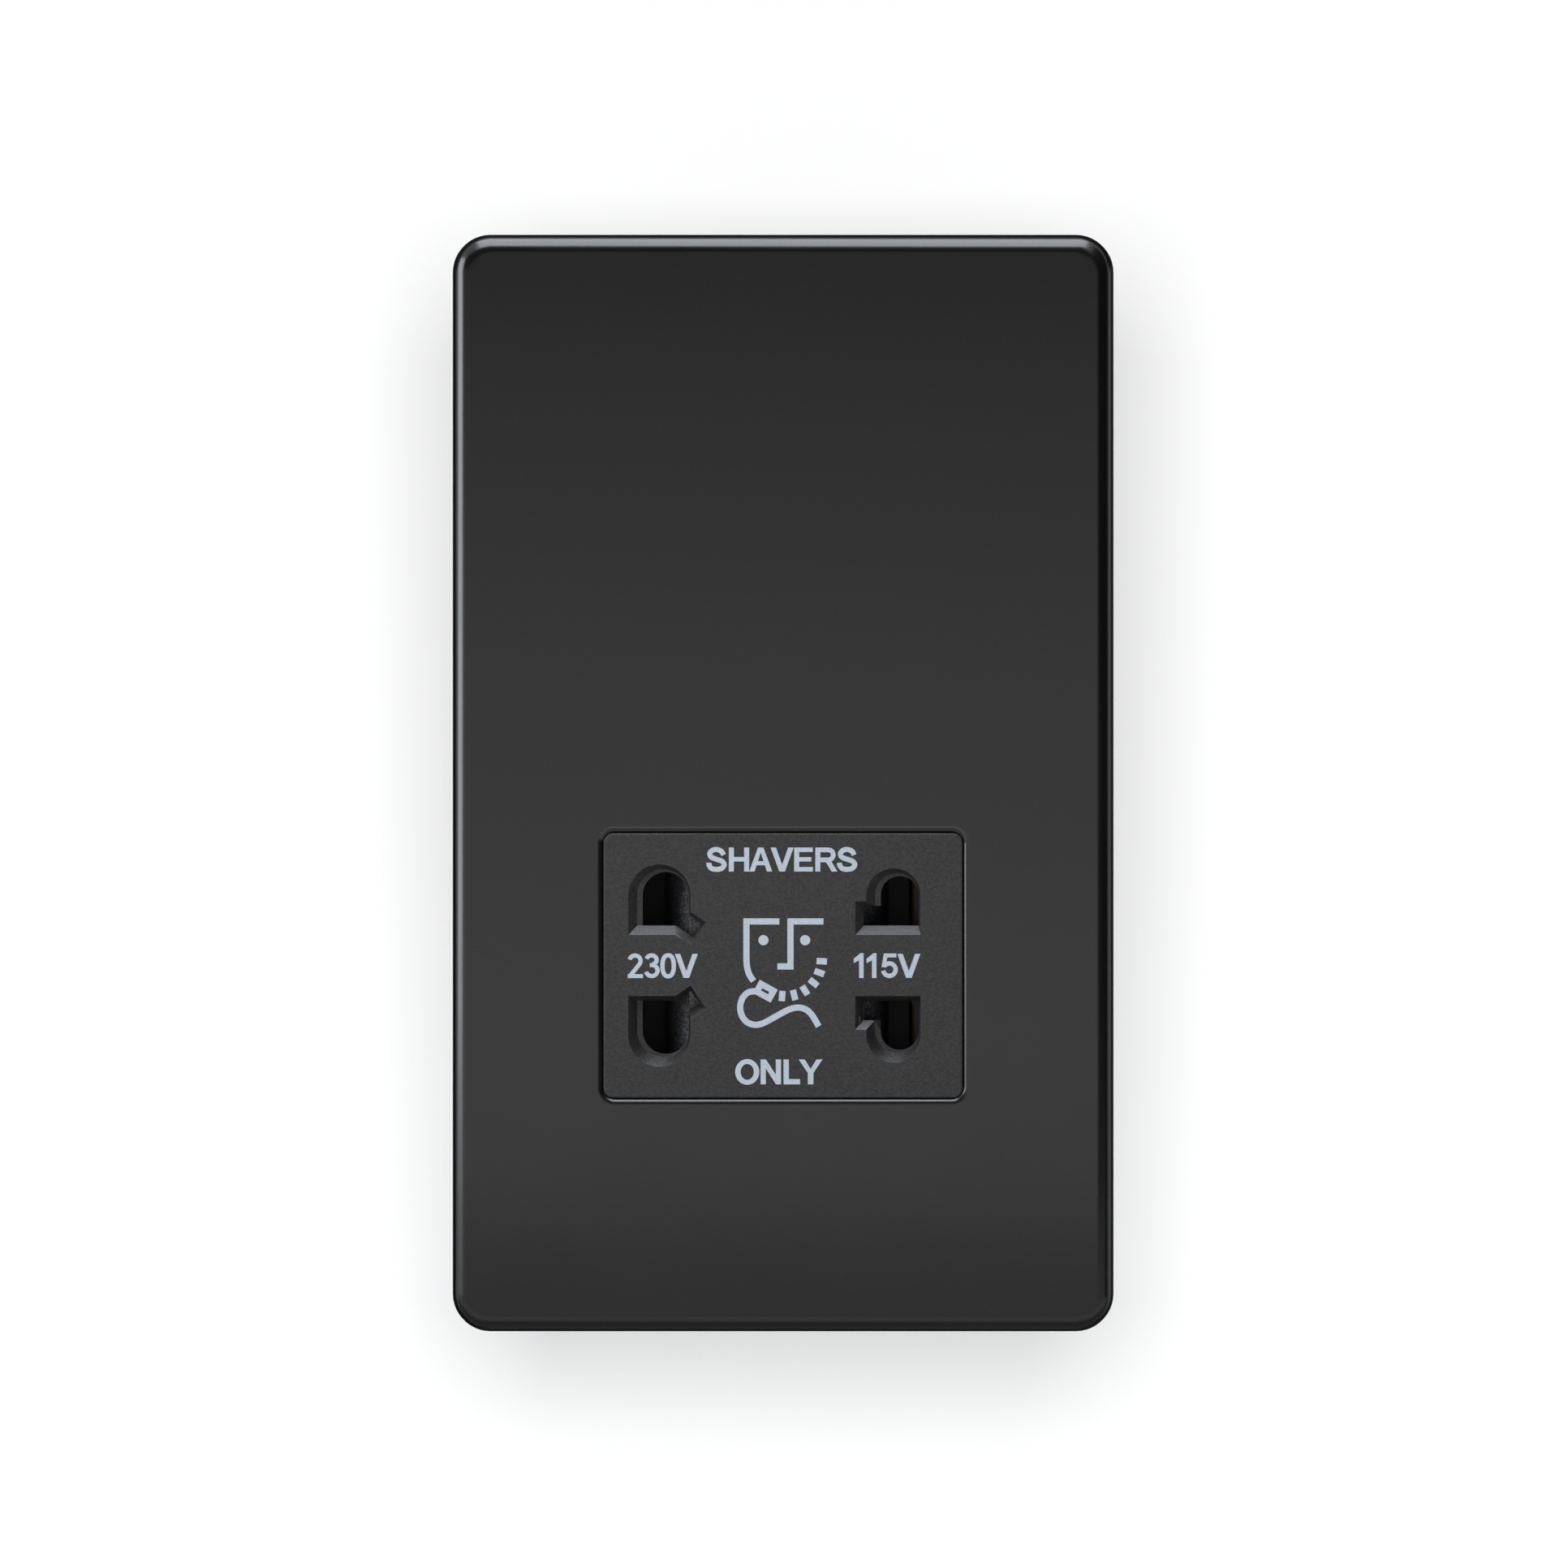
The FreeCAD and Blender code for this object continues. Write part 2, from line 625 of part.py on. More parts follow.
def stepped_outline(flip, depth):
    """Aperture for 115 V: round outer end, flat inner end and a square step for parallel flat pins."""
    inset = aperture_insets(flip, depth)
    left = hole_115_x - HOLE_115_RADIUS + inset["left"] + inset["ledge_left"]
    right = hole_115_x + HOLE_115_RADIUS - inset["right"]
    flat = HOLE_FLAT + inset["flat"]
    crown = HOLE_CENTRE + HOLE_115_RADIUS - inset["crown"] - inset["ledge_crown"]
    step_left = hole_115_x - STEP_REACH + inset["left"]
    step_top = HOLE_CENTRE - STEP_BELOW_CENTRE - inset["crown"]
    before = [(step_left, flat), (step_left, step_top), (left, step_top)]
    return before, round_end(left, right, crown), [(right, flat)]


def round_end(left, right, crown):
    """Start, middle and end of the half circle that closes an aperture's outer end."""
    spring = crown - (right - left) / 2
    return (left, spring), ((left + right) / 2, crown), (right, spring)


def aperture_edges(outline, flip, y):
    """Edges of an aperture in order, mirrored below the middle of the face where flip is -1."""
    before, arc, after = outline

    def run(points):
        path = [Vector(x, y, face_z + flip * z) for x, z in points]
        return [Part.LineSegment(a, b).toShape() for a, b in zip(path, path[1:])]

    bend = Part.Arc(*[Vector(x, y, face_z + flip * z) for x, z in arc]).toShape()
    return run(before + [arc[0]]) + [bend] + run([arc[2]] + after + before[:1])


def tapered_plug(mouth, ledge):
    """Solid between two outlines with matching edges."""
    faces = [Part.makeRuledSurface(a, b) for a, b in zip(mouth, ledge)]
    faces += [Part.Face(Part.Wire(mouth)), Part.Face(Part.Wire(ledge))]
    shell = Part.Shell(faces)
    shell.sewShape()
    plug = Part.Solid(shell)
    if plug.Volume < 0:
        plug.reverse()
    return plug


def aperture_tools():
    """One cutter for each pin aperture: tapered down to the ledge, then straight through."""
    tools = []
    for outline in (slanted_outline, stepped_outline):
        for flip in (1, -1):
            mouth = aperture_edges(outline(flip, 0), flip, face_front)
            ledge = aperture_edges(outline(flip, 1), flip, face_ledge)
            throat = aperture_edges(outline(flip, 2), flip, face_ledge - LEDGE_OVERLAP)
            tools.append(tapered_plug(mouth, ledge))
            tools.append(Part.Face(Part.Wire(throat)).extrude(Vector(0, FACE_WALL, 0)))
    return tools


def socket_face():
    body = block(face_width, face_height, face_front, rim_end, FACE_CORNER, z=face_z)
    body = body.makeFillet(FACE_EDGE, edges_in_plane(body, face_front))
    lip = block(face_width + 2 * LIP_WIDTH, face_height + 2 * LIP_WIDTH, lip_front, panel_front,
                FACE_CORNER + LIP_WIDTH, z=face_z)
    ear_width = 2 * (face_screw_x + EAR_PAST_SCREW)
    ears = block(ear_width, EAR_HEIGHT, lip_front, panel_front, EAR_CORNER, z=face_z)
    body = join([body, lip, ears])
    skirt = 2 * SKIRT_WALL
    hollow = block(face_width - skirt, face_height - skirt, face_inside, rim_end, z=face_z)
    body = body.cut(hollow)
    for x in face_screw_sites():
        body = body.cut(rod(SCREW_RADIUS + SCREW_CLEARANCE, lip_front, panel_front, x, face_z))
    for tool in aperture_tools():
        body = body.cut(tool)
    return body


def face_screws():
    """Two screws from the front, through the face's ears and the frame into the contact block."""
    screws = []
    for x in face_screw_sites():
        shank = rod(SCREW_RADIUS, lip_front, tray_floor + SCREW_BITE, x, face_z)
        head = rod(SCREW_HEAD, frame_front, lip_front, x, face_z)
        length = 2 * SCREW_HEAD + SCREW_SLOT
        slot = block(length, SCREW_SLOT, frame_front, (frame_front + lip_front) / 2, x=x, z=face_z)
        screws.append(shank.fuse(head).cut(slot))
    return Part.makeCompound(screws)


# Interlock slide and its springs

def ramp_sides():
    """For each voltage: the apertures' x, and the way in which their pins push the slide."""
    return ((hole_230_x, 1), (hole_115_x, -1))


def interlock_slide():
    plate = block(slide_width, slide_height, slide_front, slide_back, SLIDE_CORNER, z=face_z)
    crest_end = pin_reach - TRAVEL + RAMP_RUN + CREST_LAND
    free = hole_115_x - hole_230_x - 2 * crest_end
    for flip in (-1, 1):
        z = face_z + flip * (slide_height - POCKET_HEIGHT) / 4
        pocket = block(POCKET_SHARE * free, POCKET_HEIGHT, slide_front, slide_back - SLIDE_WEB,
                       SLIDE_CORNER, (hole_115_x + hole_230_x) / 2, z)
        plate = plate.cut(pocket)
    for x, push in ramp_sides():
        foot = x + push * (pin_reach - TRAVEL)
        window_end = x - push * (pin_reach + TRAVEL)
        crest = foot + push * RAMP_RUN
        back = x + push * crest_end
        top = slide_front - RAMP_CREST
        ramp_profile = [(crest, top), (back, top), (back, slide_back), (foot, slide_back),
                        (foot, top + RAMP_RISE)]
        toe = crest - push * RAMP_CREST * RAMP_RUN / RAMP_RISE
        wedge_profile = [(crest, top), (back, top), (back, slide_front), (toe, slide_front)]
        for flip in (-1, 1):
            near, far = (face_z + flip * z for z in (window_near, window_far))
            width = abs(back - window_end)
            window = block(width, window_far - window_near, slide_front, slide_back,
                           x=(back + window_end) / 2, z=(near + far) / 2)
            ramp = prism(ramp_profile, "z", min(near, far), max(near, far))
            wedge_end = face_z + flip * WEDGE_NEAR
            wedge = prism(wedge_profile, "z", min(near, wedge_end), max(near, wedge_end))
            plate = plate.cut(window).fuse(ramp).fuse(wedge)
    return plate.removeSplitter()


def slide_spring(side):
    """Bowed strip between the end of the tray and the end of the slide."""
    seat = tray_half - SPRING_PLAY / 2
    touch = slide_width / 2 + SPRING_PLAY + SPRING_THICK
    y = (slide_front + slide_back - SPRING_HEIGHT) / 2
    half = spring_span / 2

    def bow(shift):
        points = [(seat - shift, half), (touch - shift, 0), (seat - shift, -half)]
        return [Vector(side * x, y, face_z + z) for x, z in points]

    outside = bow(0)
    inside = bow(SPRING_THICK)
    edges = [
        Part.Arc(*outside).toShape(),
        Part.LineSegment(outside[2], inside[2]).toShape(),
        Part.Arc(*reversed(inside)).toShape(),
        Part.LineSegment(inside[0], outside[0]).toShape(),
    ]
    return Part.Face(Part.Wire(edges)).extrude(Vector(0, SPRING_HEIGHT, 0))


def switch_rivet(side):
    """Fixed contact in the end wall of the tray, where the flattened spring meets it."""
    y = (slide_front + slide_back) / 2
    start = Vector(side * (tray_half - RIVET_HEAD_THICK), y, face_z + RIVET_OFFSET)
    out = Vector(side, 0, 0)
    head = Part.makeCylinder(RIVET_HEAD, RIVET_HEAD_THICK, start, out)
    shank = Part.makeCylinder(RIVET_SHANK, block_width / 2 - abs(start.x), start, out)
    return head.fuse(shank)


# Contact block and brass contacts

def contact_rooms():
    """Middle of each of the four rooms behind the pin apertures."""
    return [(x, flip * room_z) for x in (hole_230_x, hole_115_x) for flip in (1, -1)]


def contact_block():
    body = block(block_width, block_height, rim_end, block_back, BLOCK_CORNER, z=face_z)
    body = body.cut(block(2 * tray_half, tray_height, rim_end, tray_floor, TRAY_CORNER, z=face_z))
    room_height = room_far - room_near
    passage_height = window_far - window_near
    for x, z in contact_rooms():
        room = block(ROOM_WIDTH, room_height, room_front, block_back, ROOM_CORNER, x, face_z + z)
        passage_z = face_z + math.copysign((window_near + window_far) / 2, z)
        passage = block(PASSAGE_WIDTH, passage_height, tray_floor, room_front,
                        PASSAGE_CORNER, x, passage_z)
        body = body.cut(room).cut(passage)
    span = hole_115_x - hole_230_x
    bridge_x = (hole_115_x + hole_230_x) / 2
    bridge = TAG_WIDTH + 2 * BRIDGE_PLAY
    bridge_z = face_z + room_z
    body = body.cut(block(span, bridge, block_back - BRIDGE_ROOM, block_back, x=bridge_x, z=bridge_z))
    for x in face_screw_sites():
        body = body.cut(rod(SCREW_RADIUS, rim_end, tray_floor + SCREW_BITE + BORE_SPARE, x, face_z))
    shank = Vector(-block_width / 2, (slide_front + slide_back) / 2, face_z + RIVET_OFFSET)
    rivet_bore = Part.makeCylinder(RIVET_SHANK, block_width, shank, Vector(1, 0, 0))
    return body.cut(rivet_bore)


def jaw(x, flip):
    """Springy brass fork that grips a pin: two leaves that close at the waist, and an end web."""
    back = block_back - CONTACT_PLAY
    mouth = back - BRASS / 2 - JAW_DEPTH
    side = (JAW_OPENING + BRASS) / 2
    waist_y = mouth + JAW_DEPTH / 3
    shoulder = waist_y + JAW_DEPTH / 3
    half_height = (room_far - room_near) / 2 - JAW_END_PLAY
    low = face_z + flip * room_z - half_height
    high = face_z + flip * room_z + half_height
    pieces = [block(2 * side + BRASS, BRASS, shoulder, back, x=x, z=face_z + flip * web_z)]
    for hand in (-1, 1):
        path = [
            (x + hand * JAW_MOUTH / 2, mouth),
            (x + hand * (JAW_WAIST / 2 + BRASS), waist_y),
            (x + hand * side, shoulder),
            (x + hand * side, back),
        ]
        pieces.append(prism(ribbon(path, BRASS), "z", low, high))
    return join(pieces)


def solder_tag(x, z):
    """Tag that passes through the retainer to take a lead."""
    start = block_back - CONTACT_PLAY - BRASS
    return block(TAG_WIDTH, BRASS, start, retainer_back + TAG_LENGTH, x=x, z=face_z + z)


def common_contact():
    """Upper jaws of both voltages on one strip."""
    front = block_back - CONTACT_PLAY - BRASS
    gap = hole_115_x - hole_230_x - JAW_OPENING
    x = (hole_115_x + hole_230_x) / 2
    strip = block(gap, TAG_WIDTH, front, front + BRASS, x=x, z=face_z + room_z)
    return join([jaw(hole_230_x, 1), jaw(hole_115_x, 1), strip, solder_tag(x, room_z)])


def single_contact(x):
    """Lower jaw of one voltage, whose web runs on as its tag."""
    return join([jaw(x, -1), solder_tag(x, -web_z)])


def contact_retainer():
    """Plate that closes the contact rooms from behind."""
    width = block_width - 2 * RETAINER_MARGIN
    height = block_height - 2 * RETAINER_MARGIN
    plate = block(width, height, block_back, retainer_back, BLOCK_CORNER, z=face_z)
    for x, z in tag_sites():
        slot_width = TAG_WIDTH + 2 * CONTACT_PLAY
        slot_height = BRASS + 2 * CONTACT_PLAY
        plate = plate.cut(block(slot_width, slot_height, block_back, retainer_back, x=x, z=z))
    return plate


def tag_sites():
    """Solder tags of the common strip and of the 230 V and 115 V contacts."""
    middle = (hole_115_x + hole_230_x) / 2
    return (middle, face_z + room_z), (hole_230_x, face_z - web_z), (hole_115_x, face_z - web_z)


# Transformer

def transformer_core():
    core = block(core_width, core_height, core_front, core_back, z=core_z)
    for side in (-1, 1):
        window_x = side * (leg + window_width) / 2
        core = core.cut(block(window_width, window_length, core_front, core_back, x=window_x, z=core_z))
        for flip in (-1, 1):
            z = core_z + flip * (core_height - yoke) / 2
            core = core.cut(rod(CORE_HOLE_SHARE * yoke, core_front, core_back, side * leg_x, z))
    return core


def ring(inside, thickness, low, high, corner=0.0):
    """Upright sleeve around the core's middle leg, given by its gap from the leg and its wall."""
    return sleeve(inside + thickness, low, high, corner).cut(sleeve(inside, low, high))


def sleeve(gap, low, high, corner=0.0):
    """Upright box around the middle leg, larger than it by the gap on each side."""
    width = leg + 2 * gap
    depth = STACK + 2 * gap
    box = Part.makeBox(width, depth, high - low, Vector(-width / 2, core_y - depth / 2, low))
    if corner > 0:
        upright = [edge for edge in box.Edges if abs(edge.tangentAt(edge.FirstParameter).z) > 0.99]
        box = box.makeFillet(corner, upright)
    return box


def bobbin_levels():
    """Bottom of each of the bobbin's three flanges."""
    low = core_z - window_length / 2 + BOBBIN_PLAY
    high = core_z + window_length / 2 - BOBBIN_PLAY - BOBBIN_FLANGE
    return low, (low + high) / 2, high


def transformer_bobbin():
    low, _, high = bobbin_levels()
    walls = [ring(BOBBIN_PLAY, BOBBIN_WALL, low, high + BOBBIN_FLANGE)]
    for level in bobbin_levels():
        top = level + BOBBIN_FLANGE
        walls.append(ring(BOBBIN_PLAY, flange_reach - BOBBIN_PLAY, level, top, FLANGE_CORNER))
    bobbin = join(walls)
    for pin in wire_pins().Solids:
        bobbin = bobbin.cut(pin)
    return bobbin


def primary_pin_sites():
    """Pins in the lowest flange, behind the core, for live and neutral."""
    reach = PRIMARY_PIN_SHARE * (leg / 2 + flange_reach)
    return (-reach, reach)


def secondary_pin_sites():
    """Pins in the highest flange for the common end, 230 V and 115 V."""
    reach = SECONDARY_PIN_SHARE * (leg / 2 + flange_reach)
    return (0, -reach, reach)


def primary_pin_tip():
    return bobbin_levels()[0] - WIRE_PIN_LENGTH


def secondary_pin_tip():
    return bobbin_levels()[2] + BOBBIN_FLANGE + WIRE_PIN_LENGTH


def wire_pins():
    """Pins that the windings' ends and the leads are soldered to."""
    length = BOBBIN_FLANGE + WIRE_PIN_LENGTH
    pins = []
    for x in primary_pin_sites():
        pins.append(Part.makeCylinder(WIRE_PIN, length, Vector(x, wire_pin_y, primary_pin_tip())))
    for x in secondary_pin_sites():
        pins.append(Part.makeCylinder(WIRE_PIN, length, Vector(x, wire_pin_y, bobbin_levels()[2])))
    return Part.makeCompound(pins)


def chamber(index):
    """Bottom and top of one winding, between two flanges."""
    levels = bobbin_levels()
    return levels[index] + BOBBIN_FLANGE + COIL_PLAY, levels[index + 1] - COIL_PLAY


def winding(index):
    low, high = chamber(index)
    return ring(BOBBIN_PLAY + BOBBIN_WALL, coil_thick, low, high, COIL_CORNER)


def winding_tapes():
    """One turn of insulating tape round each winding."""
    tapes = []
    for index in (0, 1):
        low, high = chamber(index)
        middle = (low + high) / 2
        half = TAPE_SHARE * (high - low) / 2
        outer = sleeve(coil_reach + TAPE, middle - half, middle + half, COIL_CORNER + TAPE)
        inner = sleeve(coil_reach, middle - half, middle + half, COIL_CORNER)
        tapes.append(outer.cut(inner))
    return Part.makeCompound(tapes)


def thermal_cutout():
    """Small flat can strapped to the front of the primary winding."""
    low, high = chamber(0)
    width = CUTOUT_SHARE_ACROSS * leg
    height = CUTOUT_SHARE_UP * (high - low)
    corner = CUTOUT_CORNER_SHARE * height
    return block(width, height, cutout_back - CUTOUT_THICK, cutout_back, corner, z=(low + high) / 2)


# Rear cover

def cover_box(inset, corner, edge):
    """The cover's outer form, or its inside, as one stepped solid."""
    width = cover_width - 2 * inset
    whole = block(width, cover_height - 2 * inset, rim_end, cover_shallow - inset, corner, z=cover_z)
    deep = block(width, deep_height - 2 * inset, rim_end, cover_deep - inset, corner, z=deep_z)
    deep = deep.makeFillet(edge, edges_in_plane(deep, cover_deep - inset))
    return whole.fuse(deep).removeSplitter()


def rear_cover():
    cover = cover_box(0, COVER_CORNER, COVER_EDGE)
    cover = cover.cut(cover_box(COVER_WALL, COVER_CORNER - COVER_WALL, COVER_INSIDE_EDGE))
    adds = [rod(COLUMN_RADIUS, rim_end, back - COVER_WALL / 2, x, z) for x, z, back in cover_screw_sites()]
    outer = 2 * (CORE_PLAY + CRADLE_RIB)
    cradle = block(core_width + outer, core_height + outer, core_back - CRADLE_GRIP, cover_inside, z=core_z)
    cradle = cradle.cut(block(core_width + 2 * CORE_PLAY, core_height + 2 * CORE_PLAY,
                              core_back - CRADLE_GRIP, cover_inside, z=core_z))
    adds.append(cradle)
    for side in (-1, 1):
        adds.append(block(yoke / 2, core_height + CRADLE_RIB, core_back + CORE_PLAY, cover_inside,
                          x=side * leg_x, z=core_z))
    cover = join([cover] + adds)
    cuts = []
    for x, z, back in cover_screw_sites():
        cuts.append(rod(SCREW_RADIUS + SCREW_CLEARANCE, rim_end, back, x, z))
        cuts.append(rod(SCREW_HEAD + SCREW_CLEARANCE, back - SCREW_HEAD_THICK - SCREW_SUNK, back, x, z))
    pitch = VENT_SHARE_ACROSS * core_width
    vent = VENT_OPEN_SHARE * pitch
    for i in range(VENT_COUNT):
        x = (i - (VENT_COUNT - 1) / 2) * pitch
        height = VENT_SHARE_UP * core_height
        cuts.append(block(vent, height, cover_inside, cover_deep, ROUND_SHARE * vent, x, core_z))
    notch_width = 2 * (LEAD_RADIUS + LEAD_NOTCH_PLAY)
    for x in primary_pin_sites() + secondary_pin_sites():
        notch_z = core_z - core_height / 2 - CORE_PLAY - CRADLE_RIB / 2
        cuts.append(block(notch_width, 2 * CRADLE_RIB, core_back + CORE_PLAY, cover_inside, x=x, z=notch_z))
    for x in pole_sites():
        slot_width = TAIL_WIDTH + 2 * CONTACT_PLAY
        slot_height = TAIL_THICK + 2 * CONTACT_PLAY
        cuts.append(block(slot_width, slot_height, shallow_inside, cover_shallow, x=x, z=terminal_z))
    for x in peg_sites():
        cuts.append(rod(PEG_RADIUS + PEG_PLAY, shallow_inside, cover_shallow, x, terminal_z))
    for cut in cuts:
        cover = cover.cut(cut)
    return cover.removeSplitter()


def cover_screws():
    screws = []
    for x, z, back in cover_screw_sites():
        seat = back - SCREW_HEAD_THICK - SCREW_SUNK
        tip = rim_end - SCREW_BITE
        screws.append(slotted_screw(SCREW_RADIUS, SCREW_HEAD, SCREW_HEAD_THICK, x, z, tip, seat))
    return Part.makeCompound(screws)


# Mains terminals

def pole_sites():
    first = -POLE_PITCH * (POLE_COUNT - 1) / 2
    return [first + i * POLE_PITCH for i in range(POLE_COUNT)]


def peg_sites():
    reach = POLE_PITCH * (POLE_COUNT - 1) / 2 + POLE_ROOM / 2 + TERMINAL_WALL
    return (-reach + PEG_RADIUS / 2, reach - PEG_RADIUS / 2)


def terminal_block():
    width = POLE_PITCH * (POLE_COUNT - 1) + POLE_ROOM + 2 * TERMINAL_WALL + PEG_RADIUS
    body = block(width, TERMINAL_HEIGHT, cover_shallow, terminal_back, TERMINAL_CORNER, z=terminal_z)
    for i in range(POLE_COUNT + 1):
        x = POLE_PITCH * (i - POLE_COUNT / 2)
        fin = block(FIN, TERMINAL_HEIGHT, terminal_back, terminal_back + FIN_REACH, x=x, z=terminal_z)
        body = body.fuse(fin)
    for x in peg_sites():
        peg = rod(PEG_RADIUS, shallow_inside, terminal_front, x, terminal_z)
        body = body.fuse(peg)
    bottom = terminal_z - TERMINAL_HEIGHT / 2
    wire_y = terminal_front + CONTACT_PLAY + BRASS_BODY_DEPTH / 2
    for x in pole_sites():
        room_height = TERMINAL_HEIGHT - 2 * TERMINAL_WALL
        room = block(POLE_ROOM, room_height, terminal_front, terminal_back, x=x, z=terminal_z)
        tail = block(TAIL_WIDTH + 2 * CONTACT_PLAY, TAIL_THICK + 2 * CONTACT_PLAY,
                     cover_shallow, terminal_front, x=x, z=terminal_z)
        mouth = Vector(x, wire_y, bottom)
        funnel = Part.makeCone(WIRE_FUNNEL, WIRE_HOLE, TERMINAL_WALL, mouth, Vector(0, 0, 1))
        body = body.cut(room).cut(tail).cut(funnel)
    return body.removeSplitter()


def terminal(x):
    """Brass clamp body with its wire hole, its tapped hole and a tail through the cover."""
    front = terminal_front + CONTACT_PLAY
    back = front + BRASS_BODY_DEPTH
    width = POLE_ROOM - 2 * CONTACT_PLAY
    body = block(width, BRASS_BODY_HEIGHT, front, back, BRASS_BODY_CORNER, x, terminal_z)
    tail = block(TAIL_WIDTH, TAIL_THICK, shallow_inside - TAIL_INSIDE, front, x=x, z=terminal_z)
    wire_y = (front + back) / 2
    start = Vector(x, wire_y, terminal_z - BRASS_BODY_HEIGHT / 2)
    bore = Part.makeCylinder(WIRE_HOLE, BRASS_BODY_HEIGHT, start, Vector(0, 0, 1))
    tapped = rod(CLAMP_SCREW + CLAMP_PLAY, wire_y, back, x, terminal_z)
    return body.fuse(tail).cut(bore).cut(tapped)


def terminal_screws():
    back = terminal_front + CONTACT_PLAY + BRASS_BODY_DEPTH
    seat = back + CLAMP_LIFT
    tip = back - BRASS_BODY_DEPTH / 2 + WIRE_HOLE / 2
    screws = []
    for x in pole_sites():
        screws.append(slotted_screw(CLAMP_SCREW, CLAMP_HEAD, CLAMP_HEAD_THICK, x, terminal_z, tip, seat))
    return Part.makeCompound(screws)


# Earth spring

def earth_path():
    """Centre line of the strip: foot on the frame's panel, arm up to the plate, rounded tip."""
    foot = panel_front - EARTH_STRIP / 2
    touch = plate_back + EARTH_STRIP / 2 + EARTH_PLAY
    start = earth_z - EARTH_FOOT / 2
    bend = earth_z + EARTH_FOOT / 2
    top = bend + EARTH_ARM
    return [(foot, start), (foot, bend), (touch, top), (touch + EARTH_TIP_DROP, top + EARTH_TIP)]


def earth_clearance():
    """Room that the ribs leave round the earth spring."""
    low = earth_z - EARTH_FOOT / 2 - EARTH_ROOM
    high = earth_z + EARTH_FOOT / 2 + EARTH_ARM + EARTH_TIP + EARTH_ROOM
    width = EARTH_WIDTH + 2 * EARTH_ROOM
    return block(width, high - low, frame_front, panel_front, x=earth_x, z=(low + high) / 2)


def earth_spring():
    half = EARTH_WIDTH / 2
    strip = prism(ribbon(earth_path(), EARTH_STRIP), "x", earth_x - half, earth_x + half)
    top = panel_front - EARTH_STRIP
    rivet = rod(EARTH_RIVET, top, rim_end, earth_x, earth_z)
    head = rod(EARTH_RIVET_HEAD, top - EARTH_HEAD_THICK, top, earth_x, earth_z)
    return join([strip, rivet, head])


# Leads inside the cover

def lead(points):
    """Insulated wire along straight runs with round bends and square ends."""
    corners = [Vector(*point) for point in points]
    edges = []
    start = corners[0]
    for i in range(1, len(corners) - 1):
        before = (corners[i - 1] - corners[i]).normalize()
        after = (corners[i + 1] - corners[i]).normalize()
        half = before.getAngle(after) / 2
        first = corners[i] + before * (LEAD_BEND / math.tan(half))
        last = corners[i] + after * (LEAD_BEND / math.tan(half))
        inward = (before + after).normalize()
        middle = corners[i] + inward * (LEAD_BEND / math.sin(half) - LEAD_BEND)
        edges.append(Part.LineSegment(start, first).toShape())
        edges.append(Part.Arc(first, middle, last).toShape())
        start = last
    edges.append(Part.LineSegment(start, corners[-1]).toShape())
    section = Part.Wire(Part.makeCircle(LEAD_RADIUS, corners[0], corners[1] - corners[0]))
    return Part.Wire(edges).makePipeShell([section], True, False)


def primary_lead(pole_x, pin_x):
    """From a mains terminal's tail up to the primary winding's pin."""
    start = terminal_z + TAIL_THICK / 2 + LEAD_END_PLAY
    return lead([
        (pole_x, lead_back, start),
        (pole_x, lead_back, lead_floor),
        (pin_x, wire_pin_y, lead_floor),
        (pin_x, wire_pin_y, primary_pin_tip() - LEAD_END_PLAY),
    ])


def secondary_lead(pin_x, tag):
    """From the secondary winding's pin, down behind the coils, to a contact's solder tag."""
    tag_x, tag_z = tag
    loop = secondary_pin_tip() + LEAD_LOOP
    crossing = face_z + block_height / 2 - CROSSING_DROP
    path = [
        (pin_x, wire_pin_y, secondary_pin_tip() + LEAD_END_PLAY),
        (pin_x, wire_pin_y, loop),
        (pin_x, lead_rear, loop),
        (pin_x, lead_rear, lead_floor),
    ]
    if pin_x:
        path.append((pin_x, lead_front, lead_floor))
        path.append((pin_x, lead_front, crossing))
        path.append((tag_x, lead_front, crossing))
    else:
        path.append((tag_x, lead_front, lead_floor))
    path.append((tag_x, lead_front, tag_z + BRASS / 2 + LEAD_END_PLAY))
    return lead(path)


def earth_lead():
    """From the earth terminal's tail, below the tags and up the cover's side, to the earth spring."""
    start = terminal_z - TAIL_THICK / 2 - LEAD_END_PLAY
    low = face_z - web_z - BRASS / 2 - LEAD_TAG_PLAY - LEAD_RADIUS
    return lead([
        (0, lead_back, start),
        (0, lead_back, low),
        (earth_x, lead_back, low),
        (earth_x, lead_back, earth_z),
        (earth_x, rim_end + LEAD_END_PLAY, earth_z),
    ])


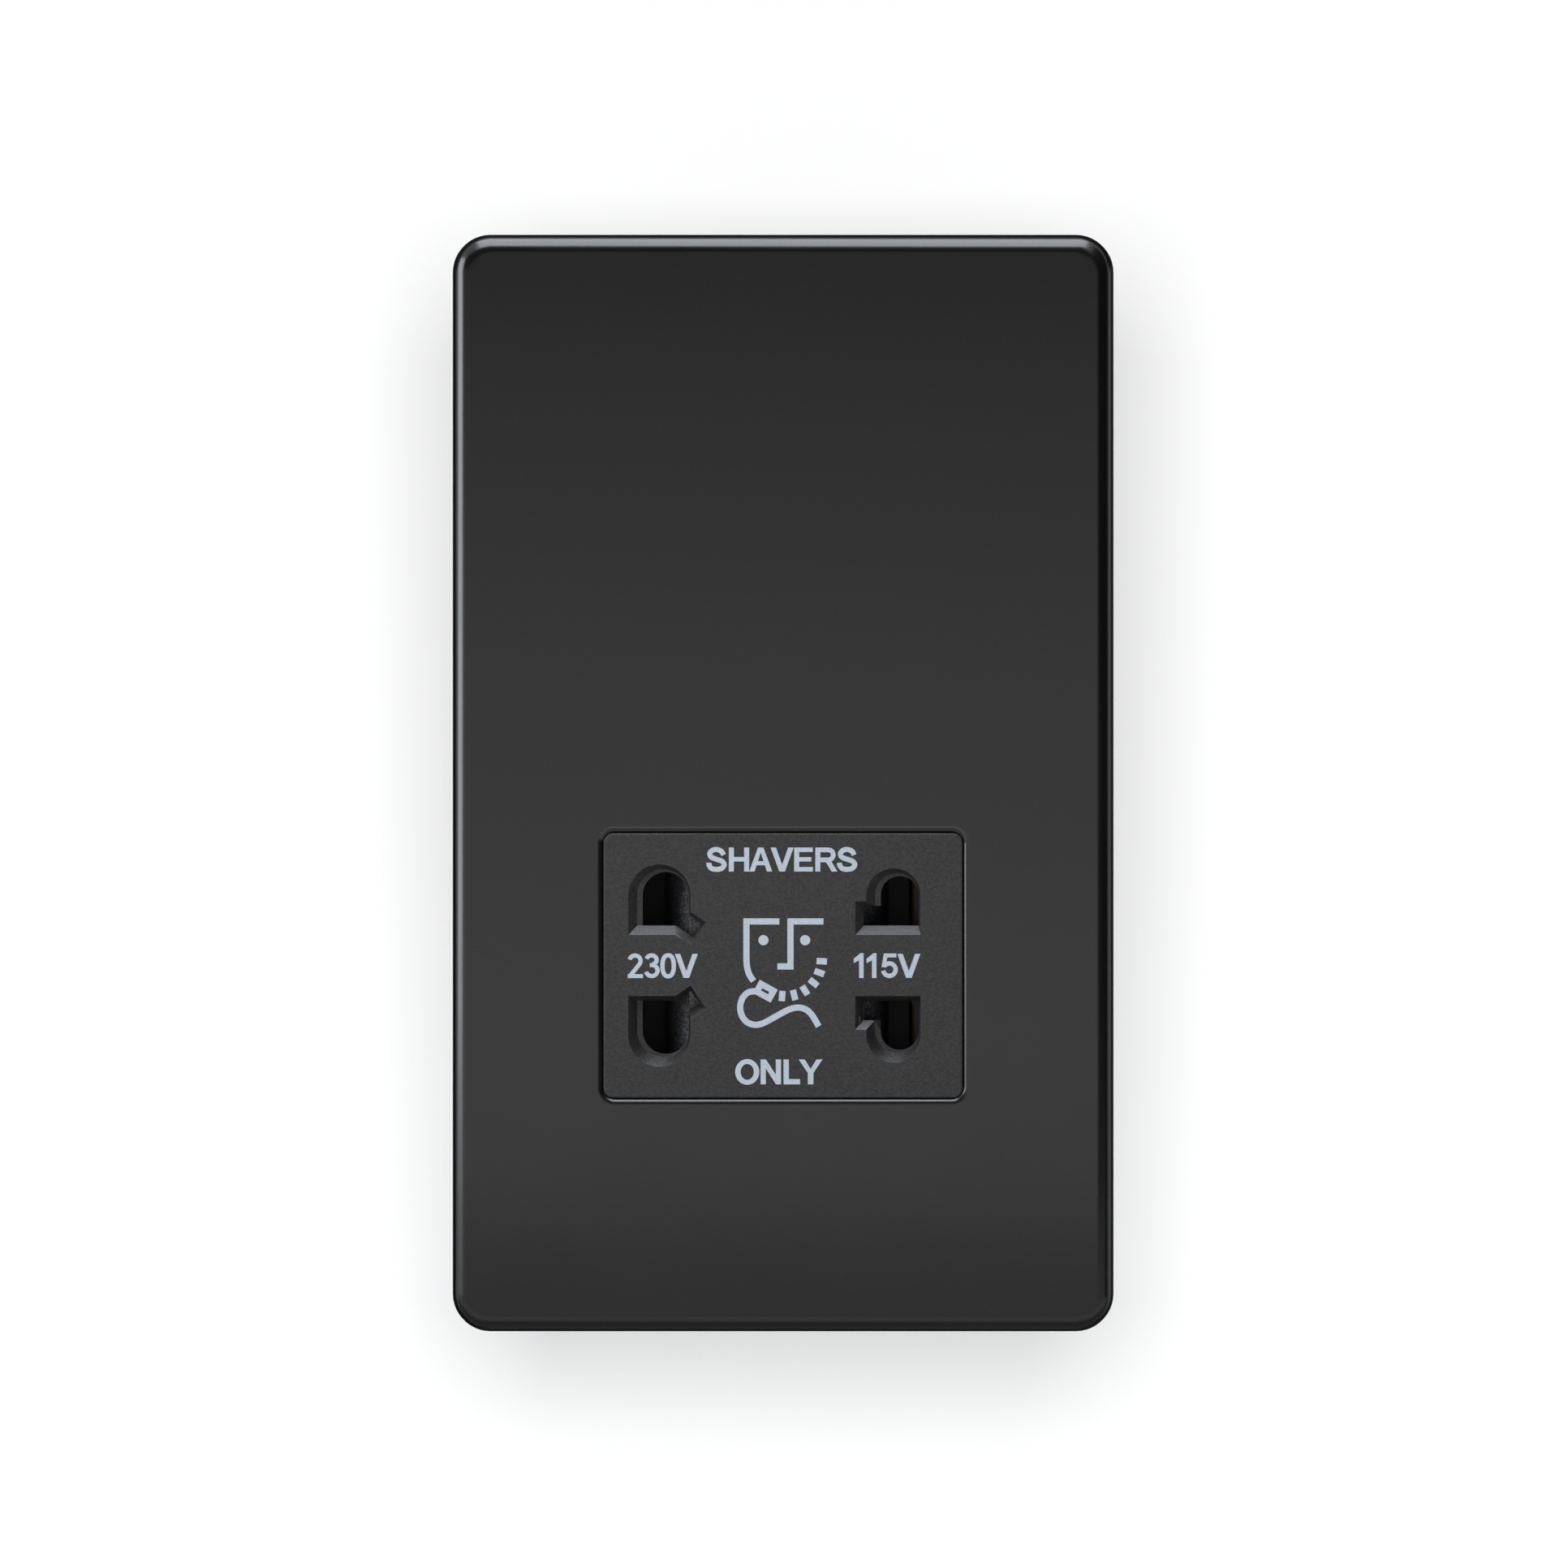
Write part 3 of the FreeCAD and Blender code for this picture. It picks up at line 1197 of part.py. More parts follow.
PIECES = {
    "front_plate": front_plate,
    "clip_frame": clip_frame,
    "rear_gasket": rear_gasket,
    "socket_face": socket_face,
    "face_screws": face_screws,
    "interlock_slide": interlock_slide,
    "slide_spring_left": lambda: slide_spring(-1),
    "slide_spring_right": lambda: slide_spring(1),
    "switch_rivet_left": lambda: switch_rivet(-1),
    "switch_rivet_right": lambda: switch_rivet(1),
    "contact_block": contact_block,
    "contact_retainer": contact_retainer,
    "common_contact": common_contact,
    "contact_230": lambda: single_contact(hole_230_x),
    "contact_115": lambda: single_contact(hole_115_x),
    "transformer_core": transformer_core,
    "transformer_bobbin": transformer_bobbin,
    "primary_winding": lambda: winding(0),
    "secondary_winding": lambda: winding(1),
    "winding_tapes": winding_tapes,
    "wire_pins": wire_pins,
    "thermal_cutout": thermal_cutout,
    "rear_cover": rear_cover,
    "cover_screws": cover_screws,
    "terminal_block": terminal_block,
    "terminal_live": lambda: terminal(pole_sites()[0]),
    "terminal_earth": lambda: terminal(pole_sites()[1]),
    "terminal_neutral": lambda: terminal(pole_sites()[2]),
    "terminal_screws": terminal_screws,
    "earth_spring": earth_spring,
    "lead_live": lambda: primary_lead(pole_sites()[0], primary_pin_sites()[0]),
    "lead_neutral": lambda: primary_lead(pole_sites()[2], primary_pin_sites()[1]),
    "lead_earth": earth_lead,
    "lead_common": lambda: secondary_lead(secondary_pin_sites()[0], tag_sites()[0]),
    "lead_230": lambda: secondary_lead(secondary_pin_sites()[1], tag_sites()[1]),
    "lead_115": lambda: secondary_lead(secondary_pin_sites()[2], tag_sites()[2]),
}

os.makedirs("parts", exist_ok=True)
for name, make in PIECES.items():
    shape = make()
    shape.exportStep("parts/" + name + ".step")
    print(name, len(shape.Solids), round(shape.Volume, 1), shape.isValid())
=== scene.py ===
import bpy
import math
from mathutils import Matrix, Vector


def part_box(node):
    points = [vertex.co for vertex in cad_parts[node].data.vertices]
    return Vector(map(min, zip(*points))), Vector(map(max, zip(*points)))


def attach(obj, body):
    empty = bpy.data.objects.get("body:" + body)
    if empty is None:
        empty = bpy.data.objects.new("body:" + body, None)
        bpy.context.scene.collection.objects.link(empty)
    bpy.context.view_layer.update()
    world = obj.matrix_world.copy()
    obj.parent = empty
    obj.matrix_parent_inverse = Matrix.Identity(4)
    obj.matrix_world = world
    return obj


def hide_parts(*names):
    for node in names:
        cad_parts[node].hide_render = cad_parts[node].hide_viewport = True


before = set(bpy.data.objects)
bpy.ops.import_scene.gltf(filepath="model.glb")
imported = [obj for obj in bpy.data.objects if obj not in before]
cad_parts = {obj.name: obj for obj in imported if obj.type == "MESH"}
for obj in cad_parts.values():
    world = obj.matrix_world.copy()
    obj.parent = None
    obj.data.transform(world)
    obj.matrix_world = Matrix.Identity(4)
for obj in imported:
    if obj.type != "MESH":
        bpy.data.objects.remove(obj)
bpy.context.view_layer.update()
print("frame loaded with", len(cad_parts), "nodes")

mm = 0.001

# places that come from the frame
facePoint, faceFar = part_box("socket_face")
faceFront = facePoint[1]
faceMiddle = (0.0, (facePoint[2] + faceFar[2]) / 2)  # x and z
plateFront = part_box("front_plate")[0][1]
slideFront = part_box("interlock_slide")[0][1]
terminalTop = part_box("terminal_block")[1][2]


def linear(hexColour):
    # sRGB hex to the linear values that nodes take
    parts = [int(hexColour[i:i + 2], 16) / 255 for i in (1, 3, 5)]
    linearParts = [c / 12.92 if c <= 0.04045 else ((c + 0.055) / 1.055) ** 2.4 for c in parts]
    return tuple(linearParts) + (1.0,)


def addNode(tree, kind, inputs=None, **settings):
    # one node with its settings, and each input set to a value or linked from a socket
    node = tree.nodes.new(kind)
    for name, value in settings.items():
        setattr(node, name, value)
    for name, value in (inputs or {}).items():
        if isinstance(value, bpy.types.NodeSocket):
            tree.links.new(value, node.inputs[name])
        else:
            node.inputs[name].default_value = value
    return node


def newMaterial(name):
    material = bpy.data.materials.new(name)
    material.use_nodes = True
    tree = material.node_tree
    tree.nodes.clear()
    output = addNode(tree, "ShaderNodeOutputMaterial")
    place = addNode(tree, "ShaderNodeTexCoord")
    return material, tree, output, place


def dress(nodeNames, material):
    for name in nodeNames:
        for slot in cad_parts[name].material_slots:
            slot.material = material


def selectOnly(*things):
    bpy.ops.object.select_all(action="DESELECT")
    for thing in things:
        thing.select_set(True)
    bpy.context.view_layer.objects.active = things[0]


# camera: square on to the plate, from far enough that the view hardly converges

view = {
    "lens": 400.0,
    "sensor": 36.0,
    "halfWidth": 107.85 * mm,  # half of the photograph's side, at the plate's front
    "centre": (0.12 * mm, -0.13 * mm),
}
cameraDistance = view["halfWidth"] * view["lens"] / (view["sensor"] / 2)
bpy.ops.object.camera_add(
    location=(view["centre"][0], plateFront - cameraDistance, view["centre"][1]),
    rotation=(math.radians(90), 0, 0),
)
camera = bpy.context.object
camera.data.lens = view["lens"]
camera.data.sensor_width = view["sensor"]
camera.data.clip_start = 0.01
camera.data.clip_end = 20
bpy.context.scene.camera = camera
print("camera placed", round(cameraDistance, 3), "m in front")


# finishes of the pieces that show

def powderCoat():
    # satin black polyester powder on steel: flows out smooth, with a faint orange peel
    coat = {"colour": "#0e0e0e", "ior": 1.5, "roughness": 0.22, "uneven": 0.02,
            "peel": 0.9 * mm, "height": 0.0016 * mm, "handled": 14 * mm}
    material, tree, output, place = newMaterial("powderCoatedSteel")
    peel = addNode(tree, "ShaderNodeTexNoise",
                   {"Vector": place.outputs["Object"], "Scale": 1 / coat["peel"], "Detail": 2.0})
    handled = addNode(tree, "ShaderNodeTexNoise",
                      {"Vector": place.outputs["Object"], "Scale": 1 / coat["handled"],
                       "Detail": 4.0})
    rough = addNode(tree, "ShaderNodeMapRange",
                    {"Value": handled.outputs["Fac"], "From Min": 0.3, "From Max": 0.7,
                     "To Min": coat["roughness"] - coat["uneven"],
                     "To Max": coat["roughness"] + coat["uneven"]})
    bump = addNode(tree, "ShaderNodeBump",
                   {"Height": peel.outputs["Fac"], "Distance": coat["height"]})
    shader = addNode(tree, "ShaderNodeBsdfPrincipled",
                     {"Base Color": linear(coat["colour"]), "IOR": coat["ior"],
                      "Roughness": rough.outputs["Result"], "Normal": bump.outputs["Normal"]})
    tree.links.new(shader.outputs["BSDF"], output.inputs["Surface"])
    return material


def sparkErodedPlastic():
    # black polycarbonate from a spark-eroded mould: grain that breaks up the light, soft edges
    grain = {"colour": "#121111", "light": "#292827", "roughness": 0.48, "ior": 1.5,
             "size": 0.3 * mm,  # the real grain is about 0.1 mm, too fine to show
             "noisePerGrain": 0.7,
             "height": 0.022 * mm, "streak": 1.5, "slant": 40, "edge": 0.09 * mm}
    material, tree, output, place = newMaterial("sparkErodedPolycarbonate")
    turned = addNode(tree, "ShaderNodeMapping",
                     {"Vector": place.outputs["Object"],
                      "Rotation": (0, math.radians(grain["slant"]), 0),
                      "Scale": (1.0, 1.0, grain["streak"])})
    fine = addNode(tree, "ShaderNodeTexNoise",
                   {"Vector": turned.outputs["Vector"],
                    "Scale": grain["noisePerGrain"] / grain["size"],
                    "Detail": 3.0, "Roughness": 0.65})
    peaks = addNode(tree, "ShaderNodeMapRange",
                    {"Value": fine.outputs["Fac"], "From Min": 0.36, "From Max": 0.64})
    tint = addNode(tree, "ShaderNodeMix",
                   {"Factor": peaks.outputs["Result"], "A": linear(grain["colour"]),
                    "B": linear(grain["light"])}, data_type="RGBA")
    soft = addNode(tree, "ShaderNodeBevel", {"Radius": grain["edge"]}, samples=6)
    bump = addNode(tree, "ShaderNodeBump",
                   {"Height": peaks.outputs["Result"], "Distance": grain["height"],
                    "Normal": soft.outputs["Normal"]})
    shader = addNode(tree, "ShaderNodeBsdfPrincipled",
                     {"Base Color": tint.outputs["Result"], "IOR": grain["ior"],
                      "Roughness": grain["roughness"], "Normal": bump.outputs["Normal"]})
    tree.links.new(shader.outputs["BSDF"], output.inputs["Surface"])
    return material


def mouldedPlastic(name, colour, roughness, ior, grain, height):
    # moulded thermoplastic: even colour, with the grain of its mould and a little flow mottle
    flowSize, flowShade = 18 * mm, 0.86
    material, tree, output, place = newMaterial(name)
    fine = addNode(tree, "ShaderNodeTexNoise",
                   {"Vector": place.outputs["Object"], "Scale": 1 / grain, "Detail": 3.0})
    flow = addNode(tree, "ShaderNodeTexNoise",
                   {"Vector": place.outputs["Object"], "Scale": 1 / flowSize, "Detail": 2.0})
    base = linear(colour)
    dark = tuple(flowShade * c for c in base[:3]) + (1.0,)
    tint = addNode(tree, "ShaderNodeMix",
                   {"Factor": flow.outputs["Fac"], "A": dark, "B": base}, data_type="RGBA")
    bump = addNode(tree, "ShaderNodeBump", {"Height": fine.outputs["Fac"], "Distance": height})
    shader = addNode(tree, "ShaderNodeBsdfPrincipled",
                     {"Base Color": tint.outputs["Result"], "IOR": ior, "Roughness": roughness,
                      "Normal": bump.outputs["Normal"]})
    tree.links.new(shader.outputs["BSDF"], output.inputs["Surface"])
    return material


def mottledAcetal():
    # black acetal copolymer with a dimpled skin; its mottle is painted pale as glints, and a
    # painted shade darkens the glints deeper behind the slide's front
    skin = {"dark": "#0c0c0d", "pale": "#6a6a6c", "roughness": 0.36, "ior": 1.48,
            "size": 0.26 * mm, "height": 0.07 * mm,
            "crest": 0.2 * mm, "foot": 3.0 * mm}  # behind the slide's front
    material, tree, output, place = newMaterial("blackAcetal")
    dimples = addNode(tree, "ShaderNodeTexNoise",
                      {"Vector": place.outputs["Object"], "Scale": 1 / skin["size"], "Detail": 4.0})
    # the skin's mottle as pale spots: a painted highlight of glints
    glintSpots = addNode(tree, "ShaderNodeMapRange",
                    {"Value": dimples.outputs["Fac"], "From Min": 0.36, "From Max": 0.66})
    parts = addNode(tree, "ShaderNodeSeparateXYZ", {"Vector": place.outputs["Object"]})
    # painted shade: the pale spots fade to dark from the crest depth to the foot depth behind the
    # slide's front
    depthShade = addNode(tree, "ShaderNodeMapRange",
                     {"Value": parts.outputs["Y"], "From Min": slideFront + skin["foot"],
                      "From Max": slideFront + skin["crest"], "To Min": 0.0, "To Max": 1.0})
    variedLevel = addNode(tree, "ShaderNodeMath",
                   {0: glintSpots.outputs["Result"], 1: depthShade.outputs["Result"]}, operation="MULTIPLY")
    tint = addNode(tree, "ShaderNodeMix",
                   {"Factor": variedLevel.outputs["Value"], "A": linear(skin["dark"]),
                    "B": linear(skin["pale"])}, data_type="RGBA")
    bump = addNode(tree, "ShaderNodeBump",
                   {"Height": dimples.outputs["Fac"], "Distance": skin["height"]})
    shader = addNode(tree, "ShaderNodeBsdfPrincipled",
                     {"Base Color": tint.outputs["Result"], "IOR": skin["ior"],
                      "Roughness": skin["roughness"], "Normal": bump.outputs["Normal"]})
    tree.links.new(shader.outputs["BSDF"], output.inputs["Surface"])
    return material


def bareMetal(name, colour, roughness, stroke, stretch):
    # rolled or turned metal: fine lines left by the rolls or the tool, longer one way
    uneven, scratch = 0.07, 0.004 * mm
    material, tree, output, place = newMaterial(name)
    drawn = addNode(tree, "ShaderNodeMapping",
                    {"Vector": place.outputs["Object"], "Scale": stretch})
    lines = addNode(tree, "ShaderNodeTexNoise",
                    {"Vector": drawn.outputs["Vector"], "Scale": 1 / stroke, "Detail": 4.0})
    variedLevel = addNode(tree, "ShaderNodeMapRange",
                   {"Value": lines.outputs["Fac"], "From Min": 0.35, "From Max": 0.65,
                    "To Min": roughness - uneven, "To Max": roughness + uneven})
    bump = addNode(tree, "ShaderNodeBump", {"Height": lines.outputs["Fac"], "Distance": scratch})
    shader = addNode(tree, "ShaderNodeBsdfPrincipled",
                     {"Base Color": linear(colour), "Metallic": 1.0,
                      "Roughness": variedLevel.outputs["Result"], "Normal": bump.outputs["Normal"]})
    tree.links.new(shader.outputs["BSDF"], output.inputs["Surface"])
    return material


def waveScale(pitch):
    # the scale at which a wave texture repeats once in each pitch
    return math.pi / 10 / pitch


def foamRubber():
    # closed-cell neoprene sheet: dull, with cut cells, each painted darker towards its middle: a
    # painted shade in its hollow
    cell = {"size": 0.5 * mm, "depth": 0.08 * mm, "middle": "#191919", "wall": "#2a2a2a"}
    material, tree, output, place = newMaterial("closedCellNeoprene")
    cells = addNode(tree, "ShaderNodeTexVoronoi",
                    {"Vector": place.outputs["Object"], "Scale": 1 / cell["size"]})
    bump = addNode(tree, "ShaderNodeBump",
                   {"Height": cells.outputs["Distance"], "Distance": cell["depth"]})
    # painted shade: darker towards the middle of each cell, where its hollow is deepest
    shade = addNode(tree, "ShaderNodeMix",
                    {"Factor": cells.outputs["Distance"], "A": linear(cell["middle"]),
                     "B": linear(cell["wall"])}, data_type="RGBA")
    shader = addNode(tree, "ShaderNodeBsdfPrincipled",
                     {"Base Color": shade.outputs["Result"], "IOR": 1.5, "Roughness": 0.85,
                      "Normal": bump.outputs["Normal"]})
    tree.links.new(shader.outputs["BSDF"], output.inputs["Surface"])
    return material


def enamelledCopper():
    # layers of enamelled wire lying side by side round the bobbin, painted darker in the grooves
    # between turns: a painted shade
    wire = {"pitch": 0.32 * mm, "shadedGroove": "#5e2412", "crown": "#b4592f"}
    material, tree, output, place = newMaterial("enamelledCopperWire")
    turns = addNode(tree, "ShaderNodeTexWave",
                    {"Vector": place.outputs["Object"], "Scale": waveScale(wire["pitch"]),
                     "Distortion": 0.4}, wave_type="BANDS", bands_direction="Z")
    # painted shade: darker in the grooves between turns, the copper's own colour on their crowns
    tint = addNode(tree, "ShaderNodeMix",
                   {"Factor": turns.outputs["Fac"], "A": linear(wire["shadedGroove"]),
                    "B": linear(wire["crown"])}, data_type="RGBA")
    bump = addNode(tree, "ShaderNodeBump",
                   {"Height": turns.outputs["Fac"], "Distance": wire["pitch"] / 3})
    shader = addNode(tree, "ShaderNodeBsdfPrincipled",
                     {"Base Color": tint.outputs["Result"], "Metallic": 0.9, "Roughness": 0.32,
                      "Coat Weight": 0.6, "Coat Roughness": 0.2, "Normal": bump.outputs["Normal"]})
    tree.links.new(shader.outputs["BSDF"], output.inputs["Surface"])
    return material


def laminatedCore():
    # stack of varnished electrical steel sheets
    sheet = {"thickness": 0.5 * mm, "step": 0.05 * mm, "dark": "#2c2b2a", "pale": "#5b5a58"}
    material, tree, output, place = newMaterial("varnishedLaminations")
    layers = addNode(tree, "ShaderNodeTexWave",
                     {"Vector": place.outputs["Object"], "Scale": waveScale(sheet["thickness"]),
                      "Distortion": 0.2},
                     wave_type="BANDS", bands_direction="Y", wave_profile="SAW")
    tint = addNode(tree, "ShaderNodeMix",
                   {"Factor": layers.outputs["Fac"], "A": linear(sheet["dark"]),
                    "B": linear(sheet["pale"])}, data_type="RGBA")
    bump = addNode(tree, "ShaderNodeBump",
                   {"Height": layers.outputs["Fac"], "Distance": sheet["step"]})
    shader = addNode(tree, "ShaderNodeBsdfPrincipled",
                     {"Base Color": tint.outputs["Result"], "Metallic": 0.6, "Roughness": 0.42,
                      "Coat Weight": 0.4, "Coat Roughness": 0.25, "Normal": bump.outputs["Normal"]})
    tree.links.new(shader.outputs["BSDF"], output.inputs["Surface"])
    return material


def printInk():
    # pad-printed two-part ink: pale grey-blue, and thinner where the grain stands up under it
    ink = {"colour": "#bcc5cd", "thin": "#aab4bd", "roughness": 0.5, "ior": 1.48,
           "patch": 0.13 * mm, "height": 0.006 * mm}
    material, tree, output, place = newMaterial("padPrintInk")
    patches = addNode(tree, "ShaderNodeTexNoise",
                      {"Vector": place.outputs["Object"], "Scale": 1 / ink["patch"], "Detail": 3.0})
    cover = addNode(tree, "ShaderNodeMapRange",
                    {"Value": patches.outputs["Fac"], "From Min": 0.34, "From Max": 0.58})
    tint = addNode(tree, "ShaderNodeMix",
                   {"Factor": cover.outputs["Result"], "A": linear(ink["thin"]),
                    "B": linear(ink["colour"])}, data_type="RGBA")
    bump = addNode(tree, "ShaderNodeBump",
                   {"Height": patches.outputs["Fac"], "Distance": ink["height"]})
    shader = addNode(tree, "ShaderNodeBsdfPrincipled",
                     {"Base Color": tint.outputs["Result"], "IOR": ink["ior"],
                      "Roughness": ink["roughness"], "Normal": bump.outputs["Normal"]})
    tree.links.new(shader.outputs["BSDF"], output.inputs["Surface"])
    return material


def leadInsulation(name, colour, stripe=None):
    # extruded PVC, slightly glossy; the earth lead has a second colour over half of it
    skin = {"ripple": 0.7 * mm, "height": 0.01 * mm, "stripe": 3.2 * mm}
    material, tree, output, place = newMaterial(name)
    fine = addNode(tree, "ShaderNodeTexNoise",
                   {"Vector": place.outputs["Object"], "Scale": 1 / skin["ripple"], "Detail": 2.0})
    bump = addNode(tree, "ShaderNodeBump",
                   {"Height": fine.outputs["Fac"], "Distance": skin["height"]})
    bands = addNode(tree, "ShaderNodeTexWave",
                    {"Vector": place.outputs["Object"], "Scale": waveScale(skin["stripe"])},
                    wave_type="BANDS", bands_direction="DIAGONAL")
    sharp = addNode(tree, "ShaderNodeMapRange",
                    {"Value": bands.outputs["Fac"], "From Min": 0.46, "From Max": 0.54})
    tint = addNode(tree, "ShaderNodeMix",
                   {"Factor": sharp.outputs["Result"], "A": linear(colour),
                    "B": linear(stripe or colour)}, data_type="RGBA")
    shader = addNode(tree, "ShaderNodeBsdfPrincipled",
                     {"Base Color": tint.outputs["Result"], "IOR": 1.54, "Roughness": 0.38,
                      "Normal": bump.outputs["Normal"]})
    tree.links.new(shader.outputs["BSDF"], output.inputs["Surface"])
    return material


# name, colour, roughness, distance of the lines and how they are stretched
brass = bareMetal("stampedBrass", "#d8ae62", 0.3, 0.25 * mm, (1, 1, 0.15))
# the contacts' brass is painted dark brown: a painted shade for the deep holes they sit in
shadeDarkBrass = bareMetal("brassPaintedDark", "#4a371d", 0.5, 0.25 * mm, (1, 1, 0.15))
bronze = bareMetal("phosphorBronzeStrip", "#c98d5c", 0.28, 0.25 * mm, (1, 1, 0.15))
zinc = bareMetal("zincPlatedSteel", "#c3c2bb", 0.34, 0.3 * mm, (1, 0.3, 1))
tinned = bareMetal("tinnedSteelWire", "#cfcdc8", 0.3, 0.3 * mm, (1, 1, 0.2))

# name, colour, roughness, IOR, size and height of the grain
carrier = mouldedPlastic("carrierAbs", "#1f1f20", 0.5, 1.53, 0.4 * mm, 0.012 * mm)
shell = mouldedPlastic("flameRetardantPbt", "#232324", 0.52, 1.55, 0.45 * mm, 0.02 * mm)
paleNylon = mouldedPlastic("whitePolyamide", "#dcdbd4", 0.42, 1.53, 0.5 * mm, 0.006 * mm)
blackNylon = mouldedPlastic("blackPolyamide", "#161617", 0.5, 1.53, 0.5 * mm, 0.006 * mm)
bobbinNylon = mouldedPlastic("naturalNylon", "#e2e0d6", 0.45, 1.53, 0.5 * mm, 0.006 * mm)
phenolic = mouldedPlastic("phenolicCase", "#1c1a1a", 0.3, 1.6, 0.5 * mm, 0.004 * mm)
tape = mouldedPlastic("polyesterTape", "#d8a51e", 0.22, 1.57, 4 * mm, 0.03 * mm)

inkFinish = printInk()

dress(["front_plate"], powderCoat())
dress(["socket_face"], sparkErodedPlastic())
dress(["interlock_slide"], mottledAcetal())
dress(["clip_frame"], carrier)
dress(["rear_gasket"], foamRubber())
dress(["rear_cover"], shell)
dress(["terminal_block"], paleNylon)
dress(["contact_block", "contact_retainer"], blackNylon)
dress(["transformer_bobbin"], bobbinNylon)
dress(["thermal_cutout"], phenolic)
dress(["winding_tapes"], tape)
dress(["primary_winding", "secondary_winding"], enamelledCopper())
dress(["transformer_core"], laminatedCore())
dress(["slide_spring_left", "slide_spring_right", "earth_spring"], bronze)
# the contacts take the brass painted dark, a painted shade
dress(["common_contact", "contact_230", "contact_115"], shadeDarkBrass)  # nothing shines in the holes
dress(["switch_rivet_left", "switch_rivet_right"], brass)
dress(["terminal_live", "terminal_earth", "terminal_neutral"], brass)
dress(["face_screws", "cover_screws", "terminal_screws"], zinc)
dress(["wire_pins"], tinned)
dress(["lead_live"], leadInsulation("brownPvc", "#5a3320"))
dress(["lead_neutral"], leadInsulation("bluePvc", "#1d4f9c"))
dress(["lead_earth"], leadInsulation("greenYellowPvc", "#2f7d32", "#e0c326"))
dress(["lead_common"], leadInsulation("blackPvc", "#1a1a1a"))
dress(["lead_230"], leadInsulation("redPvc", "#a81f1b"))
dress(["lead_115"], leadInsulation("whitePvc", "#deddd8"))
print("finishes set on the frame's nodes")


# insert and plate again with finer edges: each is a merged copy whose corners move a little

fineEdges = {"merge": 0.002 * mm, "smoothUpTo": 24}


def fineCopy(nodeName):
    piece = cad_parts[nodeName].copy()
    piece.data = piece.data.copy()
    piece.name = nodeName + "_fine"
    bpy.context.collection.objects.link(piece)
    selectOnly(piece)
    bpy.ops.object.mode_set(mode="EDIT")
    bpy.ops.mesh.select_mode(type="VERT")
    bpy.ops.mesh.select_all(action="SELECT")
    bpy.ops.mesh.remove_doubles(threshold=fineEdges["merge"])
    bpy.ops.object.mode_set(mode="OBJECT")
    return piece


def stretchCorners(piece, wanted, factors, centre):
    # the corners that wanted picks move away from the centre, or towards it
    bpy.ops.object.mode_set(mode="EDIT")
    bpy.ops.mesh.select_all(action="DESELECT")
    bpy.ops.object.mode_set(mode="OBJECT")
    for corner in piece.data.vertices:
        corner.select = wanted(corner.co)
    bpy.ops.object.mode_set(mode="EDIT")
    bpy.ops.transform.resize(value=factors, center_override=centre)
    bpy.ops.object.mode_set(mode="OBJECT")


def finishCopy(piece, nodeName):
    # flat faces stay flat up to their rims: the largest face sets the normal at a shared corner
    bpy.ops.mesh.customdata_custom_splitnormals_clear()
    bpy.ops.object.shade_smooth_by_angle(angle=math.radians(fineEdges["smoothUpTo"]))
    bpy.ops.object.modifier_add(type="WEIGHTED_NORMAL")
    weighted = piece.modifiers[-1]
    weighted.weight = 100
    weighted.keep_sharp = True
    bpy.ops.object.modifier_apply(modifier=weighted.name)
    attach(piece, "housing")
    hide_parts(nodeName)


# the tapers that look up are flatter, so that the light from above lies full on them: those of
# the upper holes, and the one below the step of the lower right hole
taper = {
    "depth": 1.6 * mm,
    "shallowDepth": 1.0 * mm,
    "tolerance": 0.01 * mm,
    "halfAcross": 22.5 * mm,  # all four holes lie within these, from the insert's middle
    "halfUp": 15 * mm,
    "stepAcross": (9.5 * mm, 12.7 * mm),
    "stepUp": (-7.8 * mm, -7.35 * mm),
}


def onFlatTaper(at):
    up = at.z - faceMiddle[1]
    if abs(at.x) > taper["halfAcross"] or at.y > faceFront + taper["depth"] + taper["tolerance"]:
        return False
    belowStep = (taper["stepAcross"][0] < at.x < taper["stepAcross"][1]
                 and taper["stepUp"][0] < up < taper["stepUp"][1])
    return 0 < up < taper["halfUp"] or belowStep


face = fineCopy("socket_face")
stretchCorners(face, onFlatTaper, (1, taper["shallowDepth"] / taper["depth"], 1), (0, faceFront, 0))
finishCopy(face, "socket_face")

# the pressed edge round the insert is wider than it is deep, and closes on the insert
pressedEdge = {
    "halfAcross": 25.08 * mm,  # the aperture's half sizes in the frame
    "halfUp": 18.58 * mm,
    "radius": 0.55 * mm,
    "width": 0.95 * mm,
    "closing": 0.3 * mm,
    "reach": 0.6 * mm,  # past the aperture's sides, to take in the whole edge
    "tolerance": 0.0006,  # in millimetres of depth
}


def roundAperture(at):
    return (abs(at.x) < pressedEdge["halfAcross"] + pressedEdge["reach"]
            and abs(at.z - faceMiddle[1]) < pressedEdge["halfUp"] + pressedEdge["reach"])


def depthOf(at):
    return (at.y - plateFront) / mm


def apertureFactors(depth):
    # how much the aperture's two sizes change at a depth below the plate's front
    slope = math.acos(max(0.0, 1 - depth * mm / pressedEdge["radius"]))
    outside = 1 - math.sin(slope)
    before = pressedEdge["radius"] * outside
    after = pressedEdge["width"] * outside - pressedEdge["closing"]
    return [(pressedEdge[half] + after) / (pressedEdge[half] + before)
            for half in ("halfAcross", "halfUp")]


plate = fineCopy("front_plate")
depths = sorted({round(depthOf(corner.co), 3) for corner in plate.data.vertices
                 if roundAperture(corner.co)})
for depth in depths:
    across, up = apertureFactors(depth)
    stretchCorners(
        plate, lambda at: roundAperture(at) and abs(depthOf(at) - depth) < pressedEdge["tolerance"],
        (across, 1, up), (0, 0, faceMiddle[1]))
finishCopy(plate, "front_plate")
print("insert's tapers and the plate's pressed edge refined,", len(depths), "depths")


